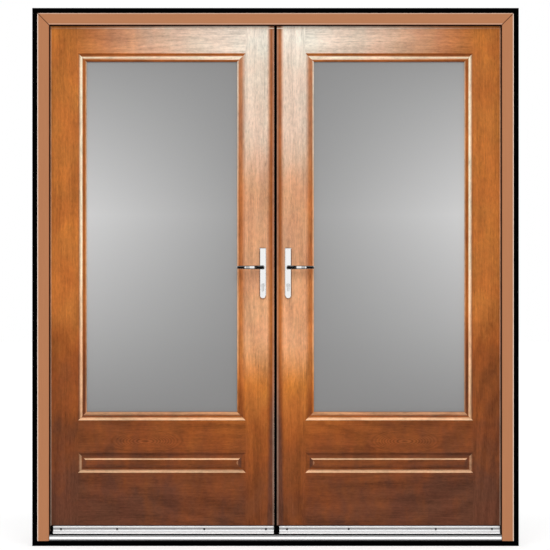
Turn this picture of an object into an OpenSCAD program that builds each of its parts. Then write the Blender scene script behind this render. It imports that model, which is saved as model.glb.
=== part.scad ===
// French doors in their frame: two glazed leaves that open inwards.
// Seen from outside along +Y, X runs to the right and Z up.
// The origin is at the middle of the sill's underside.
// Each leaf is drawn as the right one, and the left one is its mirror image.

/* [Frame] */
// Width over the frame
frame_w = 1895; // [1500:5:2400]
// Height from the sill's top to the frame's top
frame_h = 2100; // [1900:5:2400]
// Depth of the frame from outer to inner face
frame_depth = 70; // [68:0.5:90]
// Thickness of the frame behind its stop
frame_body = 30; // [28:0.5:40]
// How far the stop stands in past the body
stop_w = 18; // [15:0.5:24]
// Depth of the stop from the outer face
stop_d = 22; // [20:0.5:24]
// Wall of the frame's extrusion
frame_wall = 2.6; // [1.8:0.1:3.2]
// Radius of the rounded sight edge
nose_r = 4; // [2:0.5:6]
// Width of the groove cleaned along each corner weld
weld_groove = 2; // [1:0.25:3]
// Wall of the steel tubes inside the frame
steel_wall = 1.5; // [1:0.25:2]
// Radius of the wall fixing holes
fixing_r = 5.25; // [4:0.25:6]
// Distance between the top and bottom wall fixings
fixing_span = 1700; // [1500:10:1800]
// Distance between the two middle wall fixings
fixing_mid_span = 600; // [400:10:900]

/* [Sill and threshold] */
// Thickness of the black add-on profile round the frame
add_on_t = 20; // [12:1:40]
// Height of the sub sill
sill_h = 20; // [15:1:40]
// Height of the threshold over the sub sill
threshold_h = 24; // [20:1:30]
// Wall of the threshold and the sill
sill_wall = 2.2; // [1.5:0.1:3]

/* [Leaves] */
// Thickness of a leaf
leaf_t = 44; // [42:0.5:48]
// Clearance between leaf and frame
leaf_gap = 4; // [3:0.25:5]
// Clearance between stop and leaf, filled by the gasket
seal_gap = 3.5; // [3:0.25:5]
// Clearance under a leaf
foot_gap = 4; // [3:0.25:6]
// Gap between the two leaves
meeting_gap = 11; // [10:0.25:13]
// Thickness of the moulded skins
skin_t = 3; // [2:0.25:4]
// Width of the timber stiles
stile_w = 95; // [88:1:105]
// Height of the timber rails
rail_h = 95; // [80:1:105]

/* [Glazing] */
// From the meeting edge to the glazing
glaze_meet = 113.5; // [110:0.5:150]
// From the hinge edge to the glazing
glaze_hinge = 127.5; // [115:0.5:160]
// From the leaf's top to the glazing
glaze_top = 125; // [112:0.5:160]
// From the leaf's foot to the glazing
glaze_foot = 451; // [380:1:700]
// Width of the cassette's flange on the skin
flange_w = 4; // [3:0.5:6]
// How far the flange stands proud of the skin
flange_t = 1.2; // [0.8:0.1:2]
// Width of the cassette's cove
cove_w = 14; // [12:0.5:20]
// Depth of the cove
cove_d = 6.7; // [5:0.1:7.5]
// Width of the flat valley inside the cove
valley_w = 4; // [2:0.5:8]
// Width of the bead next to the glass
bead_w = 12; // [11:0.5:16]
// Height of the bead over the valley
bead_h = 4.5; // [3:0.25:5.5]
// Wall of the cassette behind the valley
cassette_wall = 2.5; // [2:0.25:3]
// Thickness of each pane
pane_t = 4; // [3:0.5:6]
// Cavity between the panes
cavity_t = 16; // [12:1:18]
// How far the glass reaches under the bead
glass_lap = 10; // [9:0.5:11]
// Width of the spacer bar
spacer_w = 7; // [5:0.5:7.5]

/* [Lower panel] */
// From the leaf's foot to the panel
panel_foot = 242.5; // [180:0.5:270]
// Height of the panel
panel_h = 80; // [70:1:100]
// Depth of the pressed moulding
panel_d = 6; // [4:0.5:7]
// Width of the moulding's fall
panel_fall = 10; // [8:0.5:12]
// Width of the moulding's flat bottom
panel_flat = 4; // [2:0.5:6]
// Width of the rise to the centre field
panel_rise = 12; // [8:0.5:14]
// How far the centre field lies under the face
field_sunk = 1; // [0:0.25:2]

/* [Weather bar] */
// Height of the weather bar
bar_h = 32; // [28:1:40]
// How far its nose stands out from the leaf
bar_out = 22; // [16:1:26]
// Height of the bar over the leaf's foot
bar_up = 1; // [0.5:0.25:4]
// Width of the black block that closes one end
bar_block = 10; // [6:0.5:14]
// Thickness of the black cap on the other end
bar_cap = 2; // [1:0.25:4]
// Radius of the heads of its screws
bar_screw_r = 4; // [3:0.25:5]

/* [Handles and lock] */
// Height of the handle's spindle over the leaf's foot
spindle_up = 1060.4; // [1000:0.5:1100]
// From the meeting edge to the spindle
backset = 45; // [40:0.5:48]
// From the spindle down to the cylinder
cylinder_drop = 72; // [68:0.5:92]
// Side of the square spindle
spindle_a = 8; // [7:0.5:9]
// Width of the handle plates
plate_w = 26; // [24:0.5:32]
// Plate above the spindle
plate_up = 78; // [50:1:90]
// Plate below the spindle
plate_down = 125; // [115:1:140]
// Thickness of the plates
plate_t = 9; // [6:0.5:11]
// Reach of a lever from its spindle
lever_l = 104; // [90:1:125]
// Height of a lever
lever_h = 14; // [12:0.5:18]
// Distance of a lever's front from the leaf
lever_out = 55; // [44:1:60]
// Throw of the latch
latch_throw = 12; // [8:0.5:14]
// Throw of the deadbolt
dead_throw = 20; // [16:0.5:21]
// Throw of the shoot bolts
shoot_throw = 20; // [14:0.5:21]
// Radius of the shoot bolts
shoot_r = 5; // [4:0.25:6]
// Height of the lower hook over the leaf's foot
hook_low = 372; // [300:1:500]
// Distance of the upper hook below the leaf's top
hook_high = 306; // [260:1:500]
// Reach of a hook from its pivot
hook_reach = 50; // [46:0.5:51]
// Running clearance of pins and plugs
run = 0.05; // [0.02:0.01:0.08]
// Clearance round bolts and in mortises
loose = 0.3; // [0.2:0.05:0.5]

/* [Hinges] */
// Radius of a hinge knuckle
knuckle_r = 8; // [7:0.25:8.25]
// Radius of a hinge pin
pin_r = 3.5; // [2.5:0.25:4]
// Height of a frame knuckle
knuckle_h = 20; // [14:1:30]
// Height of the leaf's knuckle between the frame's two
mid_knuckle_h = 50; // [36:1:70]
// From a leaf's foot or top to the nearest hinge
hinge_in = 205; // [150:1:300]
// Distance of the hinge axis from the leaf's inner face
axis_off = 9.5; // [9:0.25:11]

/* [Hidden] */
$fn = 48;

// Colours
frame_colour = [0.73, 0.49, 0.35];
oak_colour = [0.66, 0.42, 0.22];
metal_colour = [0.82, 0.83, 0.84];
chrome_colour = [0.88, 0.89, 0.9];
steel_colour = [0.6, 0.62, 0.65];
black_colour = [0.06, 0.06, 0.06];
timber_colour = [0.78, 0.62, 0.42];
foam_colour = [0.86, 0.8, 0.6];
glass_colour = [0.7, 0.7, 0.7, 0.9];

// Frame lines
over = 1;
y_out = -frame_depth / 2;
y_in = frame_depth / 2;
y_stop = y_out + stop_d;
z_threshold = sill_h + threshold_h;
z_top = sill_h + frame_h;
x_frame = frame_w / 2;
x_body = x_frame - frame_body;
x_sight = x_body - stop_w;
frame_leg = frame_body + stop_w;
set_w = frame_w + 2 * add_on_t;
fixing_z = sill_h + frame_h / 2;
butt = 0.2;

// Main chamber of the frame, which holds the steel
chamber_lo = [frame_wall, y_stop + frame_wall];
chamber_hi = [frame_body - frame_wall, y_in - 15];
chamber_mid = (chamber_lo[1] + chamber_hi[1]) / 2;
steel_fit = 0.5;
steel_back = 60;

// Gasket in the stop
groove_w = 4;
groove_d = 3;
groove_u = frame_leg - 8;
lip_out = 3.5;

// Leaf lines
y_face = y_stop + seal_gap;
y_back = y_face + leaf_t;
y_mid = (y_face + y_back) / 2;
y_core = y_face + skin_t;
y_core_back = y_back - skin_t;
x_meet = meeting_gap / 2;
x_hinge = x_body - leaf_gap;
z_foot = z_threshold + foot_gap;
z_leaf = z_top - frame_body - leaf_gap;

// Glazing lines, with u counted inwards from the cassette's outer edge
g_lo = [x_meet + glaze_meet, z_foot + glaze_foot];
g_hi = [x_hinge - glaze_hinge, z_leaf - glaze_top];
u_valley = flange_w + cove_w;
u_bead = u_valley + valley_w;
cassette_w = u_bead + bead_w;
aperture_in = flange_w - 1;
leg_w = 4;
unit_t = 2 * pane_t + cavity_t;
unit_in = cassette_w - glass_lap;
y_unit = y_mid - unit_t / 2;
y_valley = y_face - flange_t + cove_d;
spacer_back = 1.5;
cove_steps = 10;
bead_steps = 12;

// Lower panel lines
p_lo = [g_lo[0], z_foot + panel_foot];
p_hi = [g_hi[0], p_lo[1] + panel_h];
panel_w = panel_fall + panel_flat + panel_rise;

// Weather bar lines
z_bar = z_foot + bar_up;
bar_wall = 2;
bar_lip = 5;
bar_face = 2.5;
bar_screw_z = bar_h * 0.54;
bar_screws = [0.035, 0.315, 0.71, 0.965];
screw_shank = 2;
screw_l = 22;
screw_head = 1.5;

// Handle and lock lines
x_spindle = x_meet + backset;
z_spindle = z_foot + spindle_up;
z_cylinder = z_spindle - cylinder_drop;
strip_t = 3;
strip_w = 20;
strip_foot = 110;
strip_head = 96;
strip_z0 = z_foot + strip_foot;
strip_z1 = z_leaf - strip_head;
x_strip = x_meet + strip_t;
case_t = 16;
case_wall = 1.5;
case_behind = 20;
case_below = 48;
case_above = 56;
case_back = x_spindle + case_behind;
case_z0 = z_cylinder - case_below;
case_z1 = z_spindle + case_above;
passive_case_in = 18;
passive_case_x = x_meet + passive_case_in;
rod_t = 3;
rod_w = 12;
rod_x = x_strip + 0.5;
rod_in = 4;
latch_up = 18;
latch_z = z_spindle + latch_up;
latch_h = 16;
latch_w = 12;
dead_h = 28;
dead_w = 8;
bolt_l = 30;
pocket = 2;
z_hook_low = z_foot + hook_low;
z_hook_high = z_leaf - hook_high;
hook_pivot = 26;
x_hook = x_meet + hook_pivot;
hook_t = 6;
hook_arm = 12;
hook_swing = 85;
hook_pin_r = 4;
hook_boss = 9;
hook_beak = 8;
beak_rise = 14;
hook_case_up = 16;
hook_case_down = hook_reach + 10;
hook_case_back = hook_boss + 5;
hook_mouth = 0.9;
shoot_in = 26;
x_shoot = x_meet + shoot_in;
shoot_hold = 10;
keep_out = 7;
keep_t = 3;
keep_hole = shoot_r + 1.5;
keep_plate = 1.5;
keep_half = [30, 9];
strip_lip = 2;

// Meeting profile on the passive leaf's edge
meet_out = 7.5;
meet_w = 8;
meet_set = 0.5;
meet_lip = 1.2;

// Euro cylinder
cyl_r = 8.5;
cyl_stem = 5;
cyl_drop = 24.5;
cyl_proud = 2;
plug_r = 6.5;
cam_r = 15;
cam_w = 9;
cyl_l0 = y_face - plate_t - cyl_proud;
cyl_l1 = y_back + plate_t + cyl_proud;

// Hinge lines
x_axis = x_hinge + leaf_gap / 2;
y_axis = y_back + axis_off;
flag_t = 3;
flag_start = 6.5;
flag_frame = 22;
flag_leaf = 32;
hinge_stack = mid_knuckle_h + 2 * knuckle_h;
knuckle_play = 0.4;
hinge_z = [z_foot + hinge_in, (z_foot + z_leaf) / 2, z_leaf - hinge_in];
pin_cap = 2;

// Handle lines: stations along a lever hold its share of the length, its set back and its share of the height
lever_hub_r = 9;
lever_hub_out = 8;
lever_bar_t = 11;
lever_soft = 2.5;
lever_bow = [[0, 4, 1.1], [0.3, 0.5, 1], [0.7, 0, 0.93], [1, 3, 0.86]];
lever_tip_r = lever_bow[3][2] * lever_h / 2;
spindle_in = 28;
plate_edge = 2.5;
plate_round = 3;
follower_r = 10;

// Ends of each weather bar: the black block is at the hinges on the left leaf, at the gap on the right one
bar_l0 = x_meet + bar_cap;
bar_l1 = x_sight - lip_out - over - bar_block;
bar_r0 = x_meet + bar_block;
bar_r1 = x_sight - lip_out - over - bar_cap;

// Points on an elliptical arc from angle a0 to a1
function arc(c, r, a0, a1, n) =
    [for (i = [0:n]) [c[0] + r[0] * cos(a0 + (a1 - a0) * i / n), c[1] + r[1] * sin(a0 + (a1 - a0) * i / n)]];

// Points on a smooth S from (u0, y0) to (u1, y1)
function ogee(u0, y0, u1, y1, n) =
    [for (i = [0:n]) [u0 + (u1 - u0) * i / n, y0 + (y1 - y0) * (1 - cos(180 * i / n)) / 2]];

function reversed(pts) = [for (i = [len(pts) - 1:-1:0]) pts[i]];

// A box between two corners
module span(lo, hi) {
    translate(lo) cube(hi - lo);
}

// A drawing in X and Z, carried along Y from y0 to y1
module across(y0, y1) {
    translate([0, y1, 0]) rotate([90, 0, 0]) linear_extrude(y1 - y0) children();
}

// A drawing in Y and Z, carried along X from x0 to x1
module along(x0, x1) {
    translate([x0, 0, 0]) rotate([90, 0, 90]) linear_extrude(x1 - x0) children();
}

// The left leaf is the mirror image of the right one
module active() {
    mirror([1, 0, 0]) children();
}

// One section carried round a rectangle in X and Z, mitred at the corners.
// The section's x counts inwards from the rectangle's edge, its y is the depth.
module ring(lo, hi, w) {
    l = [hi[0] - lo[0], hi[1] - lo[1]];
    far = frame_depth;
    intersection() {
        translate([lo[0], 0, lo[1]]) linear_extrude(l[1]) children();
        across(-far, far)
            polygon([lo, [lo[0] + w, lo[1] + w], [lo[0] + w, hi[1] - w], [lo[0], hi[1]]]);
    }
    intersection() {
        translate([hi[0], 0, lo[1]]) mirror([1, 0, 0]) linear_extrude(l[1]) children();
        across(-far, far)
            polygon([[hi[0], lo[1]], hi, [hi[0] - w, hi[1] - w], [hi[0] - w, lo[1] + w]]);
    }
    intersection() {
        translate([hi[0], 0, lo[1]]) rotate([0, -90, 0]) linear_extrude(l[0]) children();
        across(-far, far)
            polygon([lo, [hi[0], lo[1]], [hi[0] - w, lo[1] + w], [lo[0] + w, lo[1] + w]]);
    }
    intersection() {
        translate([lo[0], 0, hi[1]]) rotate([0, 90, 0]) linear_extrude(l[0]) children();
        across(-far, far)
            polygon([[lo[0], hi[1]], [lo[0] + w, hi[1] - w], [hi[0] - w, hi[1] - w], hi]);
    }
}

// A flat rectangular ring between two depths
module flat_ring(lo, hi, w, y0, y1) {
    difference() {
        span([lo[0], y0, lo[1]], [hi[0], y1, hi[1]]);
        span([lo[0] + w, y0 - over, lo[1] + w], [hi[0] - w, y1 + over, hi[1] - w]);
    }
}

// Section of the frame: an L of chambers, with u counted inwards from the wall
module frame_section() {
    difference() {
        polygon(concat(
            [[0, y_out + 1], [1, y_out]],
            arc([frame_leg - nose_r, y_out + nose_r], [nose_r, nose_r], -90, 0, 5),
            [[frame_leg, y_stop], [frame_body, y_stop], [frame_body, y_in], [0, y_in]]
        ));
        translate([frame_wall, y_out + frame_wall])
            square([frame_body - 2 * frame_wall, stop_d - 2 * frame_wall + frame_wall / 2]);
        translate([frame_body, y_out + frame_wall])
            square([stop_w - frame_wall - 1, stop_d - 2 * frame_wall - groove_d]);
        translate(chamber_lo)
            square(chamber_hi - chamber_lo);
        translate([frame_wall, chamber_hi[1] + frame_wall])
            square([frame_body - 2 * frame_wall, y_in - chamber_hi[1] - 2 * frame_wall]);
        translate([groove_u, y_stop - groove_d])
            square([groove_w, groove_d + over]);
    }
}

// A notch along the outer edge of a mitre, as a welded corner has
module weld_notch() {
    translate([x_frame, y_out, z_top])
        rotate([0, 45, 0])
            translate([-2 * frame_leg, 0, 0])
                rotate([0, 90, 0])
                    linear_extrude(4 * frame_leg)
                        polygon([[-weld_groove / 2, -over], [-weld_groove / 2, 0], [0, weld_groove / 2],
                            [weld_groove / 2, 0], [weld_groove / 2, -over]]);
}

// Wall fixing holes through a right jamb and all that lies on it
module fixing_holes() {
    for (z = [-fixing_span, -fixing_mid_span, fixing_mid_span, fixing_span])
        translate([x_body - over, chamber_mid, fixing_z + z / 2])
            rotate([0, 90, 0]) cylinder(r = fixing_r, h = frame_body + add_on_t + 2 * over);
}

// A hole for the top or bottom shoot bolt, from z0 to z1
module bolt_hole(z0, z1, r) {
    translate([x_shoot, y_mid, z0]) cylinder(r = r, h = z1 - z0);
}

module right_jamb() {
    difference() {
        translate([x_frame, 0, sill_h]) mirror([1, 0, 0]) linear_extrude(frame_h) frame_section();
        across(y_out - over, y_in + over)
            polygon([[x_frame + over, z_top], [x_frame + over, z_top + over], [x_sight - over, z_top + over],
                [x_sight - over, z_top - frame_leg - over], [x_frame, z_top]]);
        fixing_holes();
        weld_notch();
    }
}

module frame_jamb_right() {
    color(frame_colour) right_jamb();
}

module frame_jamb_left() {
    color(frame_colour) mirror([1, 0, 0]) right_jamb();
}

module frame_head() {
    color(frame_colour) difference() {
        intersection() {
            translate([-x_frame, 0, z_top]) rotate([0, 90, 0]) linear_extrude(frame_w) frame_section();
            across(y_out - over, y_in + over)
                polygon([[-x_frame, z_top], [-x_sight, z_top - frame_leg], [x_sight, z_top - frame_leg],
                    [x_frame, z_top]]);
        }
        weld_notch();
        mirror([1, 0, 0]) weld_notch();
        bolt_hole(z_leaf, z_leaf + leaf_gap + shoot_throw, keep_hole);
    }
}

// Steel tube that fills the main chamber, drawn in the frame's section
module steel_section() {
    lo = [chamber_lo[0] + steel_fit, chamber_lo[1] + steel_fit];
    hi = [chamber_hi[0] - steel_fit, chamber_hi[1] - steel_fit];
    difference() {
        translate(lo) square(hi - lo);
        translate([lo[0] + steel_wall, lo[1] + steel_wall])
            square([hi[0] - lo[0] - 2 * steel_wall, hi[1] - lo[1] - 2 * steel_wall]);
    }
}

module frame_steels() {
    color(steel_colour) {
        for (s = [0, 1])
            mirror([s, 0, 0]) difference() {
                translate([x_frame, 0, z_threshold]) mirror([1, 0, 0])
                    linear_extrude(z_top - steel_back - z_threshold) steel_section();
                fixing_holes();
            }
        difference() {
            translate([steel_back - x_frame, 0, z_top]) rotate([0, 90, 0])
                linear_extrude(frame_w - 2 * steel_back) steel_section();
            bolt_hole(z_leaf, z_leaf + leaf_gap + shoot_throw, keep_hole);
        }
    }
}

// Gasket: a stem in the stop's groove and a lip that shows past the sight edge
module gasket_section() {
    polygon([
        [groove_u, y_stop], [groove_u, y_stop - groove_d], [groove_u + groove_w, y_stop - groove_d],
        [groove_u + groove_w, y_stop], [frame_leg, y_stop], [frame_leg + lip_out, y_stop + 1],
        [frame_leg + lip_out, y_face - loose - 0.5], [frame_leg + lip_out - 1, y_face - loose],
        [groove_u - 1, y_face - loose], [groove_u - 2, y_face - loose - 1], [groove_u - 2, y_stop]
    ]);
}

module frame_gasket() {
    x1 = x_frame;
    w = frame_leg + lip_out;
    color(black_colour) {
        for (s = [0, 1])
            mirror([s, 0, 0]) difference() {
                translate([x1, 0, z_threshold]) mirror([1, 0, 0])
                    linear_extrude(z_top - z_threshold) gasket_section();
                across(y_out, y_in)
                    polygon([[x1, z_top], [x1 - 2 * w, z_top - 2 * w], [x1 - 2 * w, z_top + over],
                        [x1, z_top + over]]);
            }
        intersection() {
            translate([-x1, 0, z_top]) rotate([0, 90, 0]) linear_extrude(frame_w) gasket_section();
            across(y_out, y_in)
                polygon([[-x1, z_top], [w - x1, z_top - w], [x1 - w, z_top - w], [x1, z_top]]);
        }
    }
}

// Black add-on profiles: a hollow section with a central web
module add_on_section() {
    difference() {
        translate([0, y_out]) square([add_on_t, frame_depth]);
        for (y = [y_out + frame_wall, frame_wall / 2])
            translate([frame_wall, y])
                square([add_on_t - 2 * frame_wall, frame_depth / 2 - 1.5 * frame_wall]);
    }
}

module add_on_profiles() {
    color(black_colour) {
        for (s = [0, 1])
            mirror([s, 0, 0]) difference() {
                translate([x_frame, 0, sill_h]) linear_extrude(frame_h + add_on_t) add_on_section();
                fixing_holes();
            }
        translate([butt - x_frame, 0, z_top + add_on_t]) rotate([0, 90, 0])
            linear_extrude(frame_w - 2 * butt) add_on_section();
    }
}

// Sub sill: a hollow extrusion under the whole set
module sub_sill() {
    cell = (frame_depth - 4 * sill_wall) / 3;
    color(black_colour) along(-set_w / 2, set_w / 2) difference() {
        translate([y_out, 0]) square([frame_depth, sill_h]);
        for (i = [0:2])
            translate([y_out + sill_wall + i * (cell + sill_wall), sill_wall])
                square([cell, sill_h - 2 * sill_wall]);
    }
}

// Threshold: rounded nose outside, a level top and a ramp down to the inside
module threshold_section() {
    nose = 6;
    ramp = 14;
    cell = 17;
    foot = sill_h + sill_wall;
    low = sill_h + 6;
    difference() {
        polygon(concat(
            [[y_out, sill_h]],
            arc([y_out + nose, z_threshold - nose - 2], [nose, nose], 180, 90, 5),
            [[y_out + nose + 6, z_threshold - 1], [y_stop - 2, z_threshold], [y_in - ramp, z_threshold],
                [y_in, low], [y_in, sill_h]]
        ));
        translate([y_out + sill_wall, foot])
            square([stop_d - 2 * sill_wall, threshold_h - 2 * sill_wall - nose + 1]);
        translate([y_stop, foot])
            square([cell, threshold_h - 2 * sill_wall]);
        polygon([[y_stop + cell + sill_wall, foot], [y_stop + cell + sill_wall, z_threshold - sill_wall],
            [y_in - ramp - 1, z_threshold - sill_wall], [y_in - sill_wall, low - 1],
            [y_in - sill_wall, foot]]);
    }
}

module threshold() {
    color(metal_colour) difference() {
        along(-x_body, x_body) threshold_section();
        for (s = [0, 1])
            mirror([s, 0, 0])
                span([x_sight - loose, y_out - over, sill_h - over], [x_body + over, y_stop + loose, z_top]);
        bolt_hole(z_foot - shoot_throw - foot_gap, z_foot, keep_hole);
    }
}

module threshold_seal() {
    y = y_face + 7;
    base = z_threshold + 1.5;
    tip = z_foot - loose;
    color(black_colour) along(-x_sight, x_sight)
        polygon([[y - 4, z_threshold], [y + 4, z_threshold], [y + 1.5, base], [y + 0.5, tip], [y - 1.5, tip],
            [y - 2.5, base]]);
}

// Plates round the holes that take the passive leaf's shoot bolts
module bolt_keeps() {
    color(chrome_colour) difference() {
        for (z = [z_threshold, z_leaf + leaf_gap - keep_plate])
            span([x_shoot - keep_half[0], y_mid - keep_half[1], z],
                [x_shoot + keep_half[0], y_mid + keep_half[1], z + keep_plate]);
        bolt_hole(z_threshold - over, z_top, shoot_r + 1);
    }
}

// Arm that joins a knuckle to its flag, drawn towards +X from the axis
module hinge_arm(foot) {
    polygon([[1, -knuckle_r + 2], [flag_start + 4, foot], [flag_start + 4, foot + flag_t], [4, 3]]);
}

module frame_hinge_flags() {
    foot = y_in - y_axis;
    color(chrome_colour) for (s = [0, 1])
        mirror([s, 0, 0]) for (z = hinge_z) translate([x_axis, y_axis, z]) {
            difference() {
                union() {
                    span([flag_start, foot, -hinge_stack / 2],
                        [flag_start + flag_frame, foot + flag_t, hinge_stack / 2]);
                    for (k = [-hinge_stack / 2, mid_knuckle_h / 2]) translate([0, 0, k]) {
                        cylinder(r = knuckle_r, h = knuckle_h);
                        linear_extrude(knuckle_h) hinge_arm(foot);
                    }
                }
                translate([0, 0, -hinge_stack]) cylinder(r = pin_r, h = 2 * hinge_stack);
            }
        }
}

module leaf_hinge_flags() {
    h = mid_knuckle_h - 2 * knuckle_play;
    color(chrome_colour) for (z = hinge_z) translate([x_axis, y_axis, z]) mirror([1, 0, 0]) {
        difference() {
            union() {
                span([flag_start, -axis_off, -hinge_stack / 2],
                    [flag_start + flag_leaf, flag_t - axis_off, hinge_stack / 2]);
                translate([0, 0, -h / 2]) {
                    cylinder(r = knuckle_r, h = h);
                    linear_extrude(h) hinge_arm(-axis_off);
                }
            }
            translate([0, 0, -hinge_stack]) cylinder(r = pin_r + run, h = 2 * hinge_stack);
        }
    }
}

module hinge_pins() {
    color(chrome_colour) for (s = [0, 1])
        mirror([s, 0, 0]) for (z = hinge_z) translate([x_axis, y_axis, z]) {
            translate([0, 0, -hinge_stack / 2]) cylinder(r = pin_r, h = hinge_stack);
            for (z0 = [hinge_stack / 2, -hinge_stack / 2 - pin_cap])
                translate([0, 0, z0]) cylinder(r = knuckle_r - 1, h = pin_cap);
        }
}

// Section of the pressed panel moulding, as deep as the skin is thick
function panel_curve(y) = concat(
    ogee(0, y, panel_fall, y + panel_d, 8),
    ogee(panel_fall + panel_flat, y + panel_d, panel_w, y + field_sunk, 8)
);

module panel_section() {
    polygon(concat(panel_curve(y_face), reversed(panel_curve(y_face + skin_t))));
}

// Outline of a euro cylinder with its plug at the origin, grown by g
function euro_points(g) =
    let (side = asin((cyl_stem + g) / (cyl_r + g)))
    concat(
    arc([0, 0], [cyl_r + g, cyl_r + g], side - 90, 270 - side, 20),
    arc([0, cyl_stem - cyl_drop], [cyl_stem + g, cyl_stem + g], 180, 360, 8)
);

// Outer skin, with the glazing cut out, the panel pressed in and the handle's holes
module skin() {
    difference() {
        union() {
            difference() {
                span([x_meet, y_face, z_foot], [x_hinge, y_core, z_leaf]);
                span([g_lo[0] + aperture_in, y_face - over, g_lo[1] + aperture_in],
                    [g_hi[0] - aperture_in, y_core + over, g_hi[1] - aperture_in]);
                span([p_lo[0], y_face - over, p_lo[1]], [p_hi[0], y_core + over, p_hi[1]]);
            }
            ring(p_lo, p_hi, panel_w) panel_section();
            span([p_lo[0] + panel_w, y_face + field_sunk, p_lo[1] + panel_w],
                [p_hi[0] - panel_w, y_core + field_sunk, p_hi[1] - panel_w]);
        }
        handle_holes(y_face - over, y_core + over);
    }
}

// The inner skin is the outer one turned about the leaf's middle plane
module turned() {
    translate([0, 2 * y_mid, 0]) mirror([0, 1, 0]) children();
}

// Holes for the spindle and the cylinder
module handle_holes(y0, y1) {
    translate([x_spindle, y1, z_spindle]) rotate([90, 0, 0]) cylinder(r = spindle_a, h = y1 - y0);
    translate([x_spindle, 0, z_cylinder]) across(y0, y1) polygon(euro_points(loose));
}

// Holes for the shanks of the weather bar's screws
module bar_screw_holes(x0, x1, y0, y1) {
    for (t = bar_screws)
        translate([x0 + (x1 - x0) * t, y1, z_bar + bar_screw_z])
            rotate([90, 0, 0]) cylinder(r = screw_shank, h = y1 - y0, $fn = 24);
}

module outer_skin(x0, x1) {
    color(oak_colour) difference() {
        skin();
        bar_screw_holes(x0, x1, y_face - over, y_core + over);
    }
}

module inner_skin() {
    color(oak_colour) turned() skin();
}

// Mortises in the active leaf's meeting stile
module active_mortises() {
    half = case_t / 2 + loose;
    span([x_meet - over, y_mid - strip_w / 2, strip_z0], [x_strip, y_mid + strip_w / 2, strip_z1]);
    span([x_meet, y_mid - rod_w / 2 - loose, z_hook_low],
        [rod_x + rod_t + loose, y_mid + rod_w / 2 + loose, z_hook_high]);
    span([x_meet, y_mid - half, case_z0 - loose], [case_back + loose, y_mid + half, case_z1 + loose]);
    for (z = [z_hook_low, z_hook_high])
        span([x_meet, y_mid - half, z - hook_case_down - loose],
            [x_hook + hook_case_back + loose, y_mid + half, z + hook_case_up + loose]);
}

// Mortises in the passive leaf's meeting stile: the case, the bolts' bores and the pockets
module passive_mortises() {
    half = case_t / 2 + loose;
    span([passive_case_x, y_mid - half, case_z0 - loose], [case_back + loose, y_mid + half, case_z1 + loose]);
    bolt_hole(z_foot - over, case_z0, shoot_r + loose);
    bolt_hole(case_z1, z_leaf + over, shoot_r + loose);
    span([x_meet - over, y_mid - dead_w, z_cylinder - dead_h / 2 - 1],
        [x_meet + dead_throw - meeting_gap + pocket, y_mid + dead_w, z_cylinder + dead_h / 2 + 1]);
    span([x_meet - over, y_mid - latch_w / 2 - 1, latch_z - latch_h / 2 - 1],
        [x_meet + latch_throw - meeting_gap + pocket, y_mid + latch_w / 2 + 1, latch_z + latch_h / 2 + 1]);
    for (z = [z_hook_low, z_hook_high])
        span([x_meet - over, y_mid - dead_w, z - hook_reach * hook_mouth],
            [x_meet + hook_reach - hook_pivot - meeting_gap + pocket, y_mid + dead_w,
                z + beak_rise + pocket]);
}

// Timber frame inside a leaf: two stiles with two rails between them
module timber(x0, x1) {
    color(timber_colour) difference() {
        for (x = [x_meet, x_hinge - stile_w])
            span([x, y_core, z_foot], [x + stile_w, y_core_back, z_leaf]);
        children();
        handle_holes(y_core - over, y_core_back + over);
        bar_screw_holes(x0, x1, y_core - over, y_face + screw_l);
    }
    color(timber_colour) difference() {
        for (z = [z_foot, z_leaf - rail_h])
            span([x_meet + stile_w + butt, y_core, z], [x_hinge - stile_w - butt, y_core_back, z + rail_h]);
        bar_screw_holes(x0, x1, y_core - over, y_face + screw_l);
    }
}

// Foam that fills the leaf round the glazing, with grooves for the pressed mouldings
module foam() {
    groove = skin_t + panel_d;
    color(foam_colour) difference() {
        span([x_meet + stile_w, y_core, z_foot + rail_h], [x_hinge - stile_w, y_core_back, z_leaf - rail_h]);
        span([g_lo[0] + aperture_in, y_core - over, g_lo[1] + aperture_in],
            [g_hi[0] - aperture_in, y_core_back + over, g_hi[1] - aperture_in]);
        flat_ring(p_lo, p_hi, panel_w, y_core - over, y_face + groove);
        flat_ring(p_lo, p_hi, panel_w, y_back - groove, y_core_back + over);
        for (y = [y_core - over, y_core_back - field_sunk])
            span([p_lo[0], y, p_lo[1]], [p_hi[0], y + over + field_sunk, p_hi[1]]);
    }
}

// Section of a glazing cassette: flange, cove, valley and bead outside, a leg round the glass inside
module cassette_section() {
    top = y_face - flange_t;
    polygon(concat(
        [[0, y_face], [0, top + 0.5], [0.5, top]],
        arc([u_valley, top], [cove_w, cove_d], 180, 90, cove_steps),
        arc([u_bead + bead_w / 2, y_valley], [bead_w / 2, bead_h], 180, 360, bead_steps),
        [[cassette_w, y_unit], [u_bead, y_unit], [u_bead, y_mid], [u_bead - leg_w, y_mid],
            [u_bead - leg_w, y_valley + cassette_wall], [aperture_in + loose, y_valley + cassette_wall],
            [aperture_in + loose, y_face]]
    ));
}

module cassette() {
    color(oak_colour) ring(g_lo, g_hi, cassette_w) cassette_section();
}

module glass() {
    lo = [g_lo[0] + unit_in, g_lo[1] + unit_in];
    hi = [g_hi[0] - unit_in, g_hi[1] - unit_in];
    color(glass_colour) for (y = [y_unit, y_unit + pane_t + cavity_t])
        span([lo[0], y, lo[1]], [hi[0], y + pane_t, hi[1]]);
}

module spacer() {
    inset = unit_in + spacer_back;
    color(metal_colour) flat_ring([g_lo[0] + inset, g_lo[1] + inset], [g_hi[0] - inset, g_hi[1] - inset],
        spacer_w, y_unit + pane_t, y_unit + pane_t + cavity_t);
}

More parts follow.
